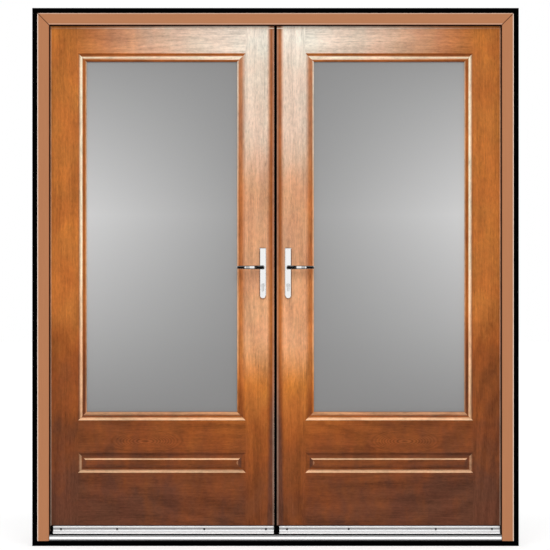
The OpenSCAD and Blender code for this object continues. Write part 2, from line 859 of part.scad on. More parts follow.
// Section of the weather bar: top lip, screw groove, sloping apron and drip nose
module bar_section(fill) {
    lip_h = 3;
    hem = 3;
    round = 1.5;
    slope_top = z_bar + bar_h * 0.4;
    slope_foot = z_bar + bar_h * 0.13;
    y_lip = y_face - bar_lip;
    y_flat = y_face - bar_face;
    y_nose = y_face - bar_out;
    polygon(concat(
        [[y_face, z_bar + bar_h], [y_lip, z_bar + bar_h], [y_lip, z_bar + bar_h - lip_h],
            [y_flat, z_bar + bar_h - lip_h - bar_face], [y_flat, slope_top],
            [y_nose + round, slope_foot], [y_nose, slope_foot - round], [y_nose, z_bar]],
        fill ? [[y_face, z_bar]] :
        [[y_nose + bar_wall, z_bar], [y_nose + bar_wall, slope_foot - bar_wall],
            [y_flat, slope_top - 1.4 * bar_wall], [y_face - bar_wall, z_bar + hem], [y_face, z_bar + hem]]
    ));
}

module weather_bar(x0, x1) {
    color(metal_colour) difference() {
        along(x0, x1) bar_section(false);
        bar_screw_holes(x0, x1, y_face - bar_out - over, y_face + over);
    }
}

module bar_ends(x0, x1, t0, t1) {
    color(black_colour) {
        along(x0 - t0, x0) bar_section(true);
        along(x1, x1 + t1) bar_section(true);
    }
}

module bar_screw_set(x0, x1) {
    color(black_colour) {
        bar_screw_holes(x0, x1, y_face - bar_face, y_face + screw_l);
        for (t = bar_screws)
            translate([x0 + (x1 - x0) * t, y_face - bar_face, z_bar + bar_screw_z])
                rotate([90, 0, 0]) cylinder(r1 = bar_screw_r, r2 = bar_screw_r - 1, h = screw_head);
    }
}

// Steel case open at the front, with holes for the spindle and the cylinder
module lock_case(x0, x1, z0, z1) {
    half = case_t / 2;
    difference() {
        span([x0, y_mid - half, z0], [x1, y_mid + half, z1]);
        span([x0 - over, y_mid - half + case_wall, z0 + case_wall],
            [x1 - case_wall, y_mid + half - case_wall, z1 - case_wall]);
        children();
    }
}

module rod_slots() {
    span([x_meet, y_mid - rod_w / 2 - loose, strip_z0],
        [rod_x + rod_t + loose, y_mid + rod_w / 2 + loose, strip_z1]);
}

module lock_cases() {
    color(steel_colour) {
        lock_case(x_strip, case_back, case_z0, case_z1) {
            handle_holes(y_face, y_back);
            rod_slots();
        }
        for (z = [z_hook_low, z_hook_high]) {
            lock_case(x_strip, x_hook + hook_case_back, z - hook_case_down, z + hook_case_up)
                rod_slots();
            translate([x_hook, y_mid + case_t / 2 - case_wall, z]) rotate([90, 0, 0])
                cylinder(r = hook_pin_r, h = case_t - 2 * case_wall);
        }
    }
}

// Faceplate let into the active leaf's edge, with mouths for latch, deadbolt and hooks
module lock_strip() {
    color(metal_colour) difference() {
        span([x_meet, y_mid - strip_w / 2, strip_z0], [x_strip, y_mid + strip_w / 2, strip_z1]);
        bolt_mouth(latch_z, latch_h, latch_w);
        bolt_mouth(z_cylinder, dead_h, dead_w);
        for (z = [z_hook_low, z_hook_high])
            span([x_meet - over, y_mid - hook_t / 2 - loose, z - hook_reach + 2],
                [x_strip + over, y_mid + hook_t / 2 + loose, z + hook_arm / 2 + 2]);
    }
}

module bolt_mouth(z, h, w) {
    span([x_meet - over - keep_out, y_mid - w / 2 - loose, z - h / 2 - loose],
        [x_strip + over, y_mid + w / 2 + loose, z + h / 2 + loose]);
}

module latch() {
    color(steel_colour) translate([0, 0, latch_z - latch_h / 2]) linear_extrude(latch_h)
        polygon([[x_meet, y_mid - latch_w / 2], [x_meet + bolt_l, y_mid - latch_w / 2],
            [x_meet + bolt_l, y_mid + latch_w / 2], [x_meet + latch_w * 0.8, y_mid + latch_w / 2]]);
}

module dead() {
    color(steel_colour) span([x_meet, y_mid - dead_w / 2, z_cylinder - dead_h / 2],
        [x_meet + bolt_l, y_mid + dead_w / 2, z_cylinder + dead_h / 2]);
}

// Hook with its pivot at the origin, thrown towards -X in this drawing
module hook_shape() {
    inner = hook_reach - hook_beak;
    difference() {
        union() {
            across(-hook_t / 2, hook_t / 2)
                polygon(concat(
                    [[0, -hook_arm / 2]],
                    arc([0, 0], [-hook_reach, hook_reach], -asin(hook_arm / 2 / hook_reach),
                        asin(beak_rise / hook_reach), 6),
                    arc([0, 0], [-inner, inner], asin(beak_rise / inner), asin(hook_arm / 2 / inner), 4),
                    [[0, hook_arm / 2]]
                ));
            translate([0, hook_t / 2, 0]) rotate([90, 0, 0]) cylinder(r = hook_boss, h = hook_t);
        }
        translate([0, hook_t, 0]) rotate([90, 0, 0]) cylinder(r = hook_pin_r + run, h = 2 * hook_t);
    }
}

// A hook at rest hangs down inside its case
module hook(z) {
    color(steel_colour) translate([x_hook, y_mid, z]) rotate([0, -hook_swing, 0]) hook_shape();
}

// Two rods behind the faceplate that join the centre case to the hook cases
module rods() {
    color(steel_colour) for (r = [[z_hook_low + hook_case_up - rod_in, case_z0 + rod_in],
            [case_z1 - rod_in, z_hook_high - hook_case_down + rod_in]])
        span([rod_x, y_mid - rod_w / 2, r[0]], [rod_x + rod_t, y_mid + rod_w / 2, r[1]]);
}

// Channel on the passive leaf's edge that receives latch, deadbolt and hooks
module keep_strip() {
    x0 = x_meet - keep_out;
    color(metal_colour) difference() {
        span([x0, y_mid - strip_w / 2, strip_z0], [x_meet, y_mid + strip_w / 2, strip_z1]);
        span([x0 + keep_t, y_mid - strip_w / 2 + strip_lip, strip_z0 - over],
            [x_meet + over, y_mid + strip_w / 2 - strip_lip, strip_z1 + over]);
        bolt_mouth(latch_z, latch_h, latch_w);
        bolt_mouth(z_cylinder, dead_h, dead_w);
        for (z = [z_hook_low, z_hook_high])
            span([x0 - over, y_mid - hook_t / 2 - 1, z - hook_reach * hook_mouth],
                [x0 + keep_t + over, y_mid + hook_t / 2 + 1, z + hook_arm / 2 + 2]);
    }
}

module passive_case() {
    color(steel_colour) lock_case(passive_case_x, case_back, case_z0, case_z1) {
        handle_holes(y_face, y_back);
        bolt_hole(case_z0 - over, case_z1 + over, shoot_r + loose);
    }
}

module shoot_bolt(z0, z1) {
    color(steel_colour) translate([x_shoot, y_mid, z0]) cylinder(r = shoot_r, h = z1 - z0);
}

// Black profile on the passive leaf's edge, which fills the gap as seen from outside
module meet_profile() {
    y0 = y_face + meet_set;
    color(black_colour) translate([0, 0, z_foot]) linear_extrude(z_leaf - z_foot)
        polygon([[x_meet, y0], [x_meet - meet_out + 1, y0], [x_meet - meet_out, y0 + 1],
            [x_meet - meet_out, y0 + 3], [x_meet - meet_out + 2, y0 + 3], [x_meet - meet_out + 2, y0 + 5],
            [x_meet - meet_out, y0 + 5], [x_meet - meet_out, y0 + meet_w], [x_meet, y0 + meet_w]]);
}

module meet_gasket() {
    y0 = y_face + meet_set;
    x0 = x_meet - meet_out;
    color(black_colour) translate([0, 0, z_foot]) linear_extrude(z_leaf - z_foot)
        polygon([[x0 + 2, y0 + 3], [x0, y0 + 3], [x0 - meet_lip, y0 + 2], [x0 - meet_lip, y0 + 4],
            [x0, y0 + 5], [x0 + 2, y0 + 5]]);
}

// Outline of a handle plate round the spindle: square shoulders, round foot
function plate_outline(inset) =
    let (w = plate_w / 2 - inset, up = plate_up - inset, r = plate_round)
    concat(
        arc([w - r, up - r], [r, r], 0, 90, 3),
        arc([r - w, up - r], [r, r], 90, 180, 3),
        arc([0, w + inset - plate_down], [w, w], 180, 360, 10)
    );

module handle_plate() {
    difference() {
        translate([x_spindle, 0, z_spindle]) hull() {
            across(y_face - plate_t + plate_edge, y_face) polygon(plate_outline(0));
            across(y_face - plate_t, y_face) polygon(plate_outline(plate_edge));
        }
        translate([x_spindle, y_face + over, z_spindle]) rotate([90, 0, 0])
            cylinder(r = lever_hub_r + loose, h = plate_t + 2 * over);
        translate([x_spindle, 0, z_cylinder]) across(y_face - plate_t - over, y_face + over)
            polygon(euro_points(loose));
    }
}

module handle_plates() {
    color(chrome_colour) {
        handle_plate();
        turned() handle_plate();
    }
}

// One station of a lever's bar: a disc with softened edges
module lever_station(p) {
    r = p[2] * lever_h / 2;
    front = y_face - lever_out + p[1];
    translate([p[0] * (lever_l - lever_tip_r), front + lever_bar_t, 0]) rotate([90, 0, 0])
        cylinder(r = r - lever_soft, h = lever_bar_t, $fn = 32);
    translate([p[0] * (lever_l - lever_tip_r), front + lever_bar_t - lever_soft, 0]) rotate([90, 0, 0])
        cylinder(r = r, h = lever_bar_t - 2 * lever_soft, $fn = 32);
}

// A lever: hub and neck on the spindle, and a bowed bar that tapers towards the hinges
module lever() {
    socket = spindle_a + 2 * run;
    difference() {
        translate([x_spindle, 0, z_spindle]) {
            translate([0, y_face - loose, 0]) rotate([90, 0, 0])
                cylinder(r = lever_hub_r, h = plate_t + lever_hub_out);
            translate([0, y_face, 0]) rotate([90, 0, 0])
                cylinder(r = lever_h / 2, h = lever_out - lever_bow[0][1] - lever_soft);
            for (i = [0:len(lever_bow) - 2])
                hull() {
                    lever_station(lever_bow[i]);
                    lever_station(lever_bow[i + 1]);
                }
        }
        span([x_spindle - socket / 2, y_face - spindle_in, z_spindle - socket / 2],
            [x_spindle + socket / 2, y_face + over, z_spindle + socket / 2]);
    }
}

module levers() {
    color(chrome_colour) {
        lever();
        turned() lever();
    }
}

// Square spindle, and the follower that it turns inside the case
module spindle() {
    a = spindle_a / 2;
    follower_t = case_t - 2 * case_wall - 1;
    color(steel_colour) {
        span([x_spindle - a, y_face - spindle_in, z_spindle - a],
            [x_spindle + a, y_back + spindle_in, z_spindle + a]);
        difference() {
            translate([x_spindle, y_mid + follower_t / 2, z_spindle]) rotate([90, 0, 0])
                cylinder(r = follower_r, h = follower_t);
            span([x_spindle - a - run, y_face, z_spindle - a - run],
                [x_spindle + a + run, y_back, z_spindle + a + run]);
        }
    }
}

// Cylinder body, slotted in the middle for the cam
module cylinder_body() {
    slot = cam_w + 1;
    color(metal_colour) translate([x_spindle, 0, z_cylinder]) difference() {
        across(cyl_l0, cyl_l1) polygon(euro_points(0));
        translate([0, cyl_l1 + over, 0]) rotate([90, 0, 0])
            cylinder(r = plug_r + run, h = cyl_l1 - cyl_l0 + 2 * over);
        span([-cyl_r - over, y_mid - slot / 2, -cam_r - 1], [cyl_r + over, y_mid + slot / 2, cyl_r + over]);
    }
}

// Plug with a keyway at both ends and the cam in the middle
module plug() {
    keyway = [2, 9];
    deep = 12;
    color(metal_colour) translate([x_spindle, 0, z_cylinder]) difference() {
        union() {
            translate([0, cyl_l1, 0]) rotate([90, 0, 0]) cylinder(r = plug_r, h = cyl_l1 - cyl_l0);
            translate([0, y_mid + cam_w / 2, 0]) rotate([90, 0, 0]) cylinder(r = cyl_r, h = cam_w);
            span([-4, y_mid - cam_w / 2, -cam_r], [4, y_mid + cam_w / 2, 0]);
        }
        for (y = [cyl_l0 - over, cyl_l1 - deep])
            span([-keyway[0] / 2, y, -keyway[1] / 2], [keyway[0] / 2, y + deep + over, keyway[1] / 2]);
    }
}

frame_head();
frame_jamb_left();
frame_jamb_right();
frame_steels();
frame_gasket();
add_on_profiles();
threshold();
threshold_seal();
sub_sill();
frame_hinge_flags();
hinge_pins();
bolt_keeps();

active() outer_skin(bar_l0, bar_l1);  // active_outer_skin
active() inner_skin();  // active_inner_skin
active() timber(bar_l0, bar_l1) active_mortises();  // active_timber
active() foam();  // active_foam
active() cassette();  // active_outer_cassette
active() turned() cassette();  // active_inner_cassette
active() glass();  // active_glass
active() spacer();  // active_spacer
active() weather_bar(bar_l0, bar_l1);  // active_weather_bar
active() bar_ends(bar_l0, bar_l1, bar_cap, bar_block);  // active_bar_ends
active() bar_screw_set(bar_l0, bar_l1);  // active_bar_screws
active() leaf_hinge_flags();  // active_hinge_flags
active() lock_strip();  // active_lock_strip
active() lock_cases();  // active_lock_cases
active() handle_plates();  // active_handle_plates
active() levers();  // active_levers
active() spindle();  // active_spindle
active() cylinder_body();  // active_cylinder
active() plug();  // active_plug
active() latch();  // latch_bolt
active() dead();  // deadbolt
active() hook(z_hook_high);  // hook_top
active() hook(z_hook_low);  // hook_bottom
active() rods();  // drive_rods

outer_skin(bar_r0, bar_r1);  // passive_outer_skin
inner_skin();  // passive_inner_skin
timber(bar_r0, bar_r1) passive_mortises();  // passive_timber
foam();  // passive_foam
cassette();  // passive_outer_cassette
turned() cassette();  // passive_inner_cassette
glass();  // passive_glass
spacer();  // passive_spacer
weather_bar(bar_r0, bar_r1);  // passive_weather_bar
bar_ends(bar_r0, bar_r1, bar_block, bar_cap);  // passive_bar_ends
bar_screw_set(bar_r0, bar_r1);  // passive_bar_screws
leaf_hinge_flags();  // passive_hinge_flags
keep_strip();  // passive_keep_strip
passive_case();  // passive_lock_case
handle_plates();  // passive_handle_plates
levers();  // passive_levers
spindle();  // passive_spindle
cylinder_body();  // passive_cylinder
plug();  // passive_plug
shoot_bolt(case_z1 - shoot_hold, z_leaf - over);  // shoot_bolt_top
shoot_bolt(z_foot + over, case_z0 + shoot_hold);  // shoot_bolt_bottom
meet_profile();  // meeting_profile
meet_gasket();  // meeting_gasket
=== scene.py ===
# %% [markdown]
# French doors with an oak stained finish: the looks.
# The two leaves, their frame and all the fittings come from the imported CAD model, which stands in the right place
# already. This script leaves those shapes alone and gives each one the surface of the real thing: stained and
# lacquered wood grain, foil, satin glass, polished chrome, drawn aluminium, black plastic and rubber.
# Small things that are too fine for the CAD model, such as screw heads, are added as meshes of their own.

import math

import bmesh
import bpy
from mathutils import Matrix, Vector
from mathutils.geometry import tessellate_polygon


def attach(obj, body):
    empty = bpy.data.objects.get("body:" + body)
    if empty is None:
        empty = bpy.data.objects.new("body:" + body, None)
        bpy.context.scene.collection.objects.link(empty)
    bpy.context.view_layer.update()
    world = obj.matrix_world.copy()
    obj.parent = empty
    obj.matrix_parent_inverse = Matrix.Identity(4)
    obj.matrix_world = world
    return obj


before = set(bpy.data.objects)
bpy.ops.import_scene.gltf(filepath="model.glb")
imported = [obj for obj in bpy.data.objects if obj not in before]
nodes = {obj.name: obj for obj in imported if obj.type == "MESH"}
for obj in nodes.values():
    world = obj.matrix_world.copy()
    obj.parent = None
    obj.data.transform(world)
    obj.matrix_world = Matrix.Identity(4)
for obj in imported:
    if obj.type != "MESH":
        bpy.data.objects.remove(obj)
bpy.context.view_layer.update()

# %% [markdown]
# The camera.
# The picture of the doors is square on, with no vanishing lines at all. A long lens from far away gives that look, and
# unlike a flat orthographic camera it also behaves when other views are asked for. The lens length follows from the
# distance and from the width that the picture covers.

# %% Camera
SENSOR = 0.036
PICTURE_WIDTH = 2.188  # metres across the picture, at the doors' face
CAMERA_DISTANCE = 20.0
CAMERA_SIDE, CAMERA_HEIGHT, DOOR_FACE = -0.002, 1.078, -0.03
eye = bpy.data.cameras.new("Camera")
eye.sensor_width = SENSOR * 1000
eye.lens = SENSOR * 1000 * CAMERA_DISTANCE / PICTURE_WIDTH
camera = bpy.data.objects.new("Camera", eye)
bpy.context.scene.collection.objects.link(camera)
camera.location = (CAMERA_SIDE, DOOR_FACE - CAMERA_DISTANCE, CAMERA_HEIGHT)
camera.rotation_euler = (math.radians(90), 0, 0)
eye.clip_end = 200
bpy.context.scene.camera = camera
bpy.context.scene.view_settings.view_transform = "Standard"
print("lens", round(eye.lens), "mm")

# %% [markdown]
# Shorthand for shader nodes.
# Materials and node groups are trees of small nodes. These helpers add a node, feed it numbers or the outputs of other
# nodes, and hand back its output, so that a recipe below reads from top to bottom.

# %% Node helpers


def node(tree, kind, feed=None, **settings):
    """Adds a node. feed maps an input's name or number to a value or to another node's output."""
    made = tree.nodes.new("ShaderNode" + kind)
    for name, value in settings.items():
        setattr(made, name, value)
    for name, value in (feed or {}).items():
        if isinstance(value, bpy.types.NodeSocket):
            tree.links.new(value, made.inputs[name])
        else:
            made.inputs[name].default_value = value
    return made


def calc(tree, operation, *values):
    """One Math node."""
    return node(tree, "Math", dict(enumerate(values)), operation=operation).outputs[0]


def product(tree, *values):
    """All values multiplied."""
    result = values[0]
    for value in values[1:]:
        result = calc(tree, "MULTIPLY", result, value)
    return result


def ease(tree, value, start, end, low=0.0, high=1.0):
    """Goes smoothly from low to high while value goes from start to end."""
    feed = {"Value": value, "From Min": start, "From Max": end, "To Min": low, "To Max": high}
    return node(tree, "MapRange", feed, interpolation_type="SMOOTHSTEP").outputs[0]


def split(tree, vector):
    """The three axes of a vector."""
    return node(tree, "SeparateXYZ", {0: vector}).outputs


print("helpers: node, calc, product, ease, split")

# %% [markdown]
# The room: white all round, with dark flags for the chrome.
# Catalogue pictures are lit evenly, so that a colour shows as it is. The world gives that even light, and the camera
# sees it as plain white. Polished metal would look like paper in a white room, so photographers put up black flags:
# here two dark strips stand a little to the left and to the right of the camera, two greyer ones stand on the indoor
# side, and the side walls, the ceiling and the ground are grey. Only mirror reflections meet them.

# %% World
AMBIENT = 0.5  # strength of the light that matt surfaces get from all round
FLAG_START, FLAG_END = (0.08, 0.11), (0.55, 0.45)  # how far a flag's two edges stand to the side, for 1 ahead
FLAG_BLACK, INDOOR_FLAG = 0.99, 0.45  # how much light a flag takes away, and the share of that on the indoor side
WALL_GREY, CEILING_GREY = 0.4, 0.12


def flag_mask(tree, way):
    """Where the dark flags stand, for the three axes of a direction."""
    ahead = calc(tree, "MAXIMUM", calc(tree, "ABSOLUTE", way["Y"]), 0.001)
    turn = calc(tree, "DIVIDE", calc(tree, "ABSOLUTE", way["X"]), ahead)
    strong = ease(tree, way["Y"], -0.05, 0.05, 1.0, INDOOR_FLAG)
    return product(tree, ease(tree, turn, *FLAG_START), ease(tree, turn, *FLAG_END), strong)


def build_room():
    room = bpy.data.worlds.new("Room")
    bpy.context.scene.world = room
    room.use_nodes = True
    tree = room.node_tree
    tree.nodes.clear()
    path = node(tree, "LightPath").outputs
    way = split(tree, node(tree, "TexCoord").outputs["Generated"])
    across, up = calc(tree, "ABSOLUTE", way["X"]), calc(tree, "ABSOLUTE", way["Z"])
    dark = product(tree, flag_mask(tree, way), ease(tree, up, 0.7, 0.5))
    walls = ease(tree, across, 0.75, 0.95, 1.0, WALL_GREY)
    ceiling = ease(tree, up, 0.6, 0.85, 1.0, CEILING_GREY)
    mirrored = product(tree, calc(tree, "MULTIPLY_ADD", dark, -FLAG_BLACK, 1.0), walls, ceiling)
    strength = calc(tree, "MULTIPLY_ADD", path["Is Glossy Ray"], calc(tree, "SUBTRACT", mirrored, AMBIENT), AMBIENT)
    plain = calc(tree, "MAXIMUM", path["Is Camera Ray"], path["Is Transmission Ray"])
    strength = calc(tree, "MAXIMUM", plain, strength)
    sky = node(tree, "Background", {"Color": (1, 1, 1, 1), "Strength": strength})
    tree.links.new(sky.outputs[0], node(tree, "OutputWorld").inputs["Surface"])


build_room()
print("world strength for diffuse light:", AMBIENT)

# %% [markdown]
# The key light.
# A broad sun from in front and a little above makes the hollow of each moulding darker on top and brighter at the foot,
# and puts a thin soft shadow under the head of the frame. It is wide, so that its shadows are soft, and it is kept out
# of mirror reflections, where so wide a disc would hide the dark flags.

# %% Key light
KEY_ENERGY, KEY_WIDTH, KEY_TILT = 1.45, math.radians(36), math.radians(60)
key = bpy.data.objects.new("Key", bpy.data.lights.new("Key", "SUN"))
key.data.energy, key.data.angle = KEY_ENERGY, KEY_WIDTH
key.rotation_euler = (KEY_TILT, 0, 0)
key.visible_glossy = False
bpy.context.scene.collection.objects.link(key)
print("lamp:", key.name, key.data.energy)

# %% [markdown]
# Shorthand for node groups.
# What several materials share is made once, as a node group with named sockets, and is then placed in each of them.
# All the groups that draw wood start from noise, which wanders between 0 and 1. Stretched cells turn it into fibres.

# %% Group helpers


def total(tree, *values):
    """All values added."""
    result = values[0]
    for value in values[1:]:
        result = calc(tree, "ADD", result, value)
    return result


def noise(tree, place, stretch, detail=2.0, rough=0.5):
    """Noise from 0 to 1. stretch says how many cells there are in a metre, along each axis."""
    scaled = node(tree, "VectorMath", {0: place, 1: stretch}, operation="MULTIPLY").outputs[0]
    return node(tree, "TexNoise", {"Vector": scaled, "Scale": 1.0, "Detail": detail, "Roughness": rough}).outputs[0]


def new_group(name, inputs, outputs):
    """An empty node group. inputs maps a name to its start value, or to None for a vector. outputs lists names."""
    group = bpy.data.node_groups.new(name, "ShaderNodeTree")
    for label, start in inputs.items():
        kind = "NodeSocketVector" if start is None else "NodeSocketFloat"
        socket = group.interface.new_socket(label, in_out="INPUT", socket_type=kind)
        if start is not None:
            socket.default_value = start
    for label in outputs:
        group.interface.new_socket(label, in_out="OUTPUT", socket_type="NodeSocketFloat")
    return group, group.nodes.new("NodeGroupInput").outputs, group.nodes.new("NodeGroupOutput").inputs


def use(tree, group, feed):
    """Places a node group in a tree."""
    return node(tree, "Group", feed, node_tree=group).outputs


print("helpers: total, noise, new_group, use")

# %% [markdown]
# Wood grain, as a node group.
# Real grain has growth rings that the saw cut through, fibres along the board, short dark pores, and a mottle where the
# stain took unevenly. All are noise that is stretched along the board. The rings are contour lines of a very slow
# noise, which is what makes them close into arches, as a plain sawn board shows. Figure bends the rings round a spot,
# as a knot does.

# %% Wood grain group
# Cells in a metre across the board twice, and along it
SLOW, RAGGED, COARSE, FINE = (2.4, 2.4, 0.5), (170, 170, 14), (34, 34, 2.2), (210, 210, 9)
PORE, MOTTLE = (640, 640, 30), (110, 110, 45)
RAGGED_SHARE, COARSE_SHARE = 0.012, 0.45


def build_grain():
    inputs = {"Place": None, "Rings": 24.0, "Figure": 0.0}
    group, given, result = new_group("Wood grain", inputs, ("Rings", "Fibres", "Pores", "Mottle"))
    place = given["Place"]
    slow, ragged = noise(group, place, SLOW, 1.5, 0.4), noise(group, place, RAGGED, 3)
    height = total(group, slow, given["Figure"], calc(group, "MULTIPLY", ragged, RAGGED_SHARE))
    ring = calc(group, "PINGPONG", calc(group, "MULTIPLY", height, given["Rings"]), 0.5)
    group.links.new(ease(group, ring, 0.12, 0.5), result["Rings"])
    coarse, fine = noise(group, place, COARSE, 3), noise(group, place, FINE, 4, 0.65)
    fibres = calc(group, "MULTIPLY_ADD", calc(group, "SUBTRACT", coarse, fine), COARSE_SHARE, fine)
    group.links.new(ease(group, fibres, 0.3, 0.7), result["Fibres"])
    group.links.new(ease(group, noise(group, place, PORE), 0.6, 0.7), result["Pores"])
    group.links.new(noise(group, place, MOTTLE, 4, 0.7), result["Mottle"])
    return group


def turned_place(tree, place, parts, turn):
    """The place to take the grain from: up and sideways change places where turn is 1, as grain follows a rail."""
    along_x = node(tree, "CombineXYZ", {0: parts["Z"], 1: parts["Y"], 2: parts["X"]}).outputs[0]
    return node(tree, "Mix", {0: turn, 4: place, 5: along_x}, data_type="VECTOR").outputs[1]


grain_group = build_grain()
print("group:", grain_group.name)

# %% [markdown]
# Stain, painted shade and painted sheen, as a node group. The leaves aren't one even brown. Painted shade makes them
# deepest at the foot and towards the hinges, with random patches of stain, and a painted sheen makes them palest up by
# the meeting stiles. Along the meeting edge painted shade runs deep again, up to a painted highlight on the thin rim
# where the skin turns over the edge. The group turns a place on the leaf into those masks. Each is a smooth step
# between two places in metres, up the leaf or sideways from the gap between the leaves.

# %% Stain, shade and sheen group
MEET_EDGE, HINGE_EDGE = 0.0055, 0.8995
LEAF_FOOT, LEAF_TOP = 0.048, 2.086
# Each step of the painted sheen: the heights in metres where it begins and is full, and how much it adds
PAINTED_SHEEN_STEPS = ((0.62, 0.84, 0.24), (1.38, 1.7, 0.45), (1.7, 1.9, 0.08), (1.88, 2.04, 0.23))
PATCH_CELLS, PATCH_CONTRAST = (13, 13, 7), 0.5


def build_stain_and_light():
    group, given, result = new_group("Stain and painted light", {"Place": None}, ("Depth", "Painted sheen", "Rim highlight"))
    place = given["Place"]
    parts = split(group, place)
    side, up = calc(group, "ABSOLUTE", parts["X"]), parts["Z"]
    hinge = ease(group, side, 0.16, 0.84)
    # Painted shade, deeper from the middle of the leaf down. The change sits lower and is longer on the lock side
    start = calc(group, "MULTIPLY_ADD", hinge, 0.18, 0.82)
    end = calc(group, "MULTIPLY_ADD", hinge, 0.28, 0.36)
    fall = product(group, ease(group, up, start, end), calc(group, "MULTIPLY_ADD", hinge, -0.18, 0.6))
    # Painted shade, deepest under the lower panel and along the meeting edge, and a little deeper high up on the lock
    # side
    foot = ease(group, up, 0.46, 0.12, 0.02, 0.23)
    edge = ease(group, side, 0.037, 0.0145, 0.0, 0.45)
    middle = calc(group, "MULTIPLY", ease(group, up, 0.88, 1.2, 0.0, 0.13), calc(group, "SUBTRACT", 1.0, hinge))
    # Patches of some centimetres, where the wood took more or less
    patch = noise(group, place, PATCH_CELLS, 5, 0.65)
    patch = calc(group, "MULTIPLY_ADD", calc(group, "SUBTRACT", patch, 0.5), PATCH_CONTRAST, foot)
    # Darker on the mid rail and below it than on the lock stile beside it
    rail = product(group, ease(group, up, 0.52, 0.48, 0.0, 0.085), ease(group, side, 0.09, 0.14))
    # All added up, with painted shade that deepens towards the hinges
    depth = total(group, calc(group, "MULTIPLY", hinge, 0.31), fall, edge, patch, middle, rail)
    group.links.new(depth, result["Depth"])
    # Painted sheen in steps up the leaf, less and less towards the hinges
    height = total(group, *[ease(group, up, begins, full, 0.0, adds) for begins, full, adds in PAINTED_SHEEN_STEPS])
    painted_sheen = product(group, height, ease(group, side, 0.84, 0.0), ease(group, side, 0.018, 0.037, 0.04, 1.0))
    group.links.new(painted_sheen, result["Painted sheen"])
    # Painted highlight where the skin turns over its edges, and outside in a line under the frame's head
    rim = calc(group, "MAXIMUM", ease(group, side, MEET_EDGE + 0.008, MEET_EDGE + 0.005, 0.0, 0.12),
               ease(group, side, HINGE_EDGE - 0.0085, HINGE_EDGE - 0.0055, 0.0, 0.22))
    head_line_highlight = product(group, ease(group, up, LEAF_TOP - 0.0285, LEAF_TOP - 0.027),
                  ease(group, up, LEAF_TOP - 0.023, LEAF_TOP - 0.0245), ease(group, side, 0.88, 0.3, 0.1, 0.8),
                  calc(group, "LESS_THAN", parts["Y"], 0.0))
    group.links.new(calc(group, "MAXIMUM", rim, head_line_highlight), result["Rim highlight"])
    return group


stain_light_group = build_stain_and_light()
print("group:", stain_light_group.name)

# %% [markdown]
# Members of a moulding, as a node group.
# A moulding frames a rectangle with four members that meet in mitres. The group gives the distance inwards from the
# rectangle's edge in millimetres, and says which member a place lies on: the one towards the hinge or towards the
# lock, the head or the foot.

# %% Moulding members group
SIDE_NEAR, SIDE_FAR = 0.119, 0.786
GLAZING = (0.499, 1.961)
PANEL = (0.2905, 0.3705)


def build_members():
    group, given, result = new_group(
        "Moulding members", {"Place": None, "Low": 0.0, "High": 1.0}, ("Inwards", "Hinge", "Lock", "Head", "Foot")
    )
    parts = split(group, given["Place"])
    side = calc(group, "ABSOLUTE", parts["X"])
    distances = {
        "Hinge": calc(group, "SUBTRACT", SIDE_FAR, side),
        "Lock": calc(group, "SUBTRACT", side, SIDE_NEAR),
        "Head": calc(group, "SUBTRACT", given["High"], parts["Z"]),
        "Foot": calc(group, "SUBTRACT", parts["Z"], given["Low"]),
    }
    across = calc(group, "MINIMUM", distances["Hinge"], distances["Lock"])
    upright = calc(group, "MINIMUM", distances["Head"], distances["Foot"])
    least = calc(group, "MINIMUM", across, upright)
    group.links.new(calc(group, "MULTIPLY", least, 1000.0), result["Inwards"])
    for name, distance in distances.items():
        group.links.new(calc(group, "LESS_THAN", distance, calc(group, "ADD", least, 1e-5)), result[name])
    return group


members_group = build_members()
print("group:", members_group.name)

# %% [markdown]
# Painted light on a moulding. Each member gets painted highlights on the ridges and slopes that face the light, and
# painted shade in the valleys, under the ledges and on the slopes that face away from it. So each member has its own
# light and dark bands, given by the four distances in millimetres where a band starts, is full, begins to fade and
# ends.

# %% Painted highlight and shade bands
GLAZING_HIGHLIGHTS = (
    ("Hinge", (1, 13.5, 15, 18.5), 1.0), ("Hinge", (29, 32, 34, 36), 0.4), ("Lock", (29.5, 31.5, 33, 35), 0.2),
    ("Head", (-3.5, -2.5, -1, -0.3), 0.7), ("Head", (14, 17, 18.5, 21.5), 0.6), ("Head", (9.5, 15, 20, 25), 0.25),
    ("Foot", (-0.5, 1.5, 5, 15), 1.1), ("Foot", (19, 22, 30, 36), 0.5),
)
GLAZING_SHADE = (
    ("Hinge", (-1, 1, 4, 7), 0.35), ("Hinge", (19, 21, 27, 31), 0.6), ("Lock", (0, 17, 27, 30), 0.85),
    ("Head", (-0.5, 0.3, 9, 13.5), 1.0), ("Head", (24, 28, 34, 40), 1.2), ("Foot", (15, 18, 21, 23), 0.7),
)
PANEL_HIGHLIGHTS = (
    ("Hinge", (1, 8, 12, 16), 0.4), ("Head", (20, 26, 27.5, 29), 1.0), ("Foot", (-0.3, 0.6, 5, 15), 0.9),
    ("Lock", (29, 32, 35, 38), 0.2),
)
PANEL_SHADE = (
    ("Head", (-6, 4, 15, 20), 0.35), ("Lock", (16, 19, 28, 30.5), 1.0), ("Foot", (18, 22, 29, 34), 0.2),
    ("Hinge", (18, 21, 30, 36), 0.3),
)


def bands(tree, members, recipe):
    """Adds up the bands of a recipe."""
    parts = []
    for member, (start, full, fade, end), strength in recipe:
        rise = ease(tree, members["Inwards"], start, full, 0.0, strength)
        parts.append(product(tree, members[member], rise, ease(tree, members["Inwards"], fade, end, 1.0, 0.0)))
    return total(tree, *parts)


for title, recipe in (("glazing, wiped", GLAZING_HIGHLIGHTS), ("glazing, settled", GLAZING_SHADE),
                      ("panel, wiped", PANEL_HIGHLIGHTS), ("panel, settled", PANEL_SHADE)):
    print("bands on the", title + ":", len(recipe))

# %% [markdown]
# Colours.
# A colour is written with the numbers from 0 to 255 that a picture editor shows. Blender counts light itself, in which
# a middle grey is far less than half, so each number is converted.

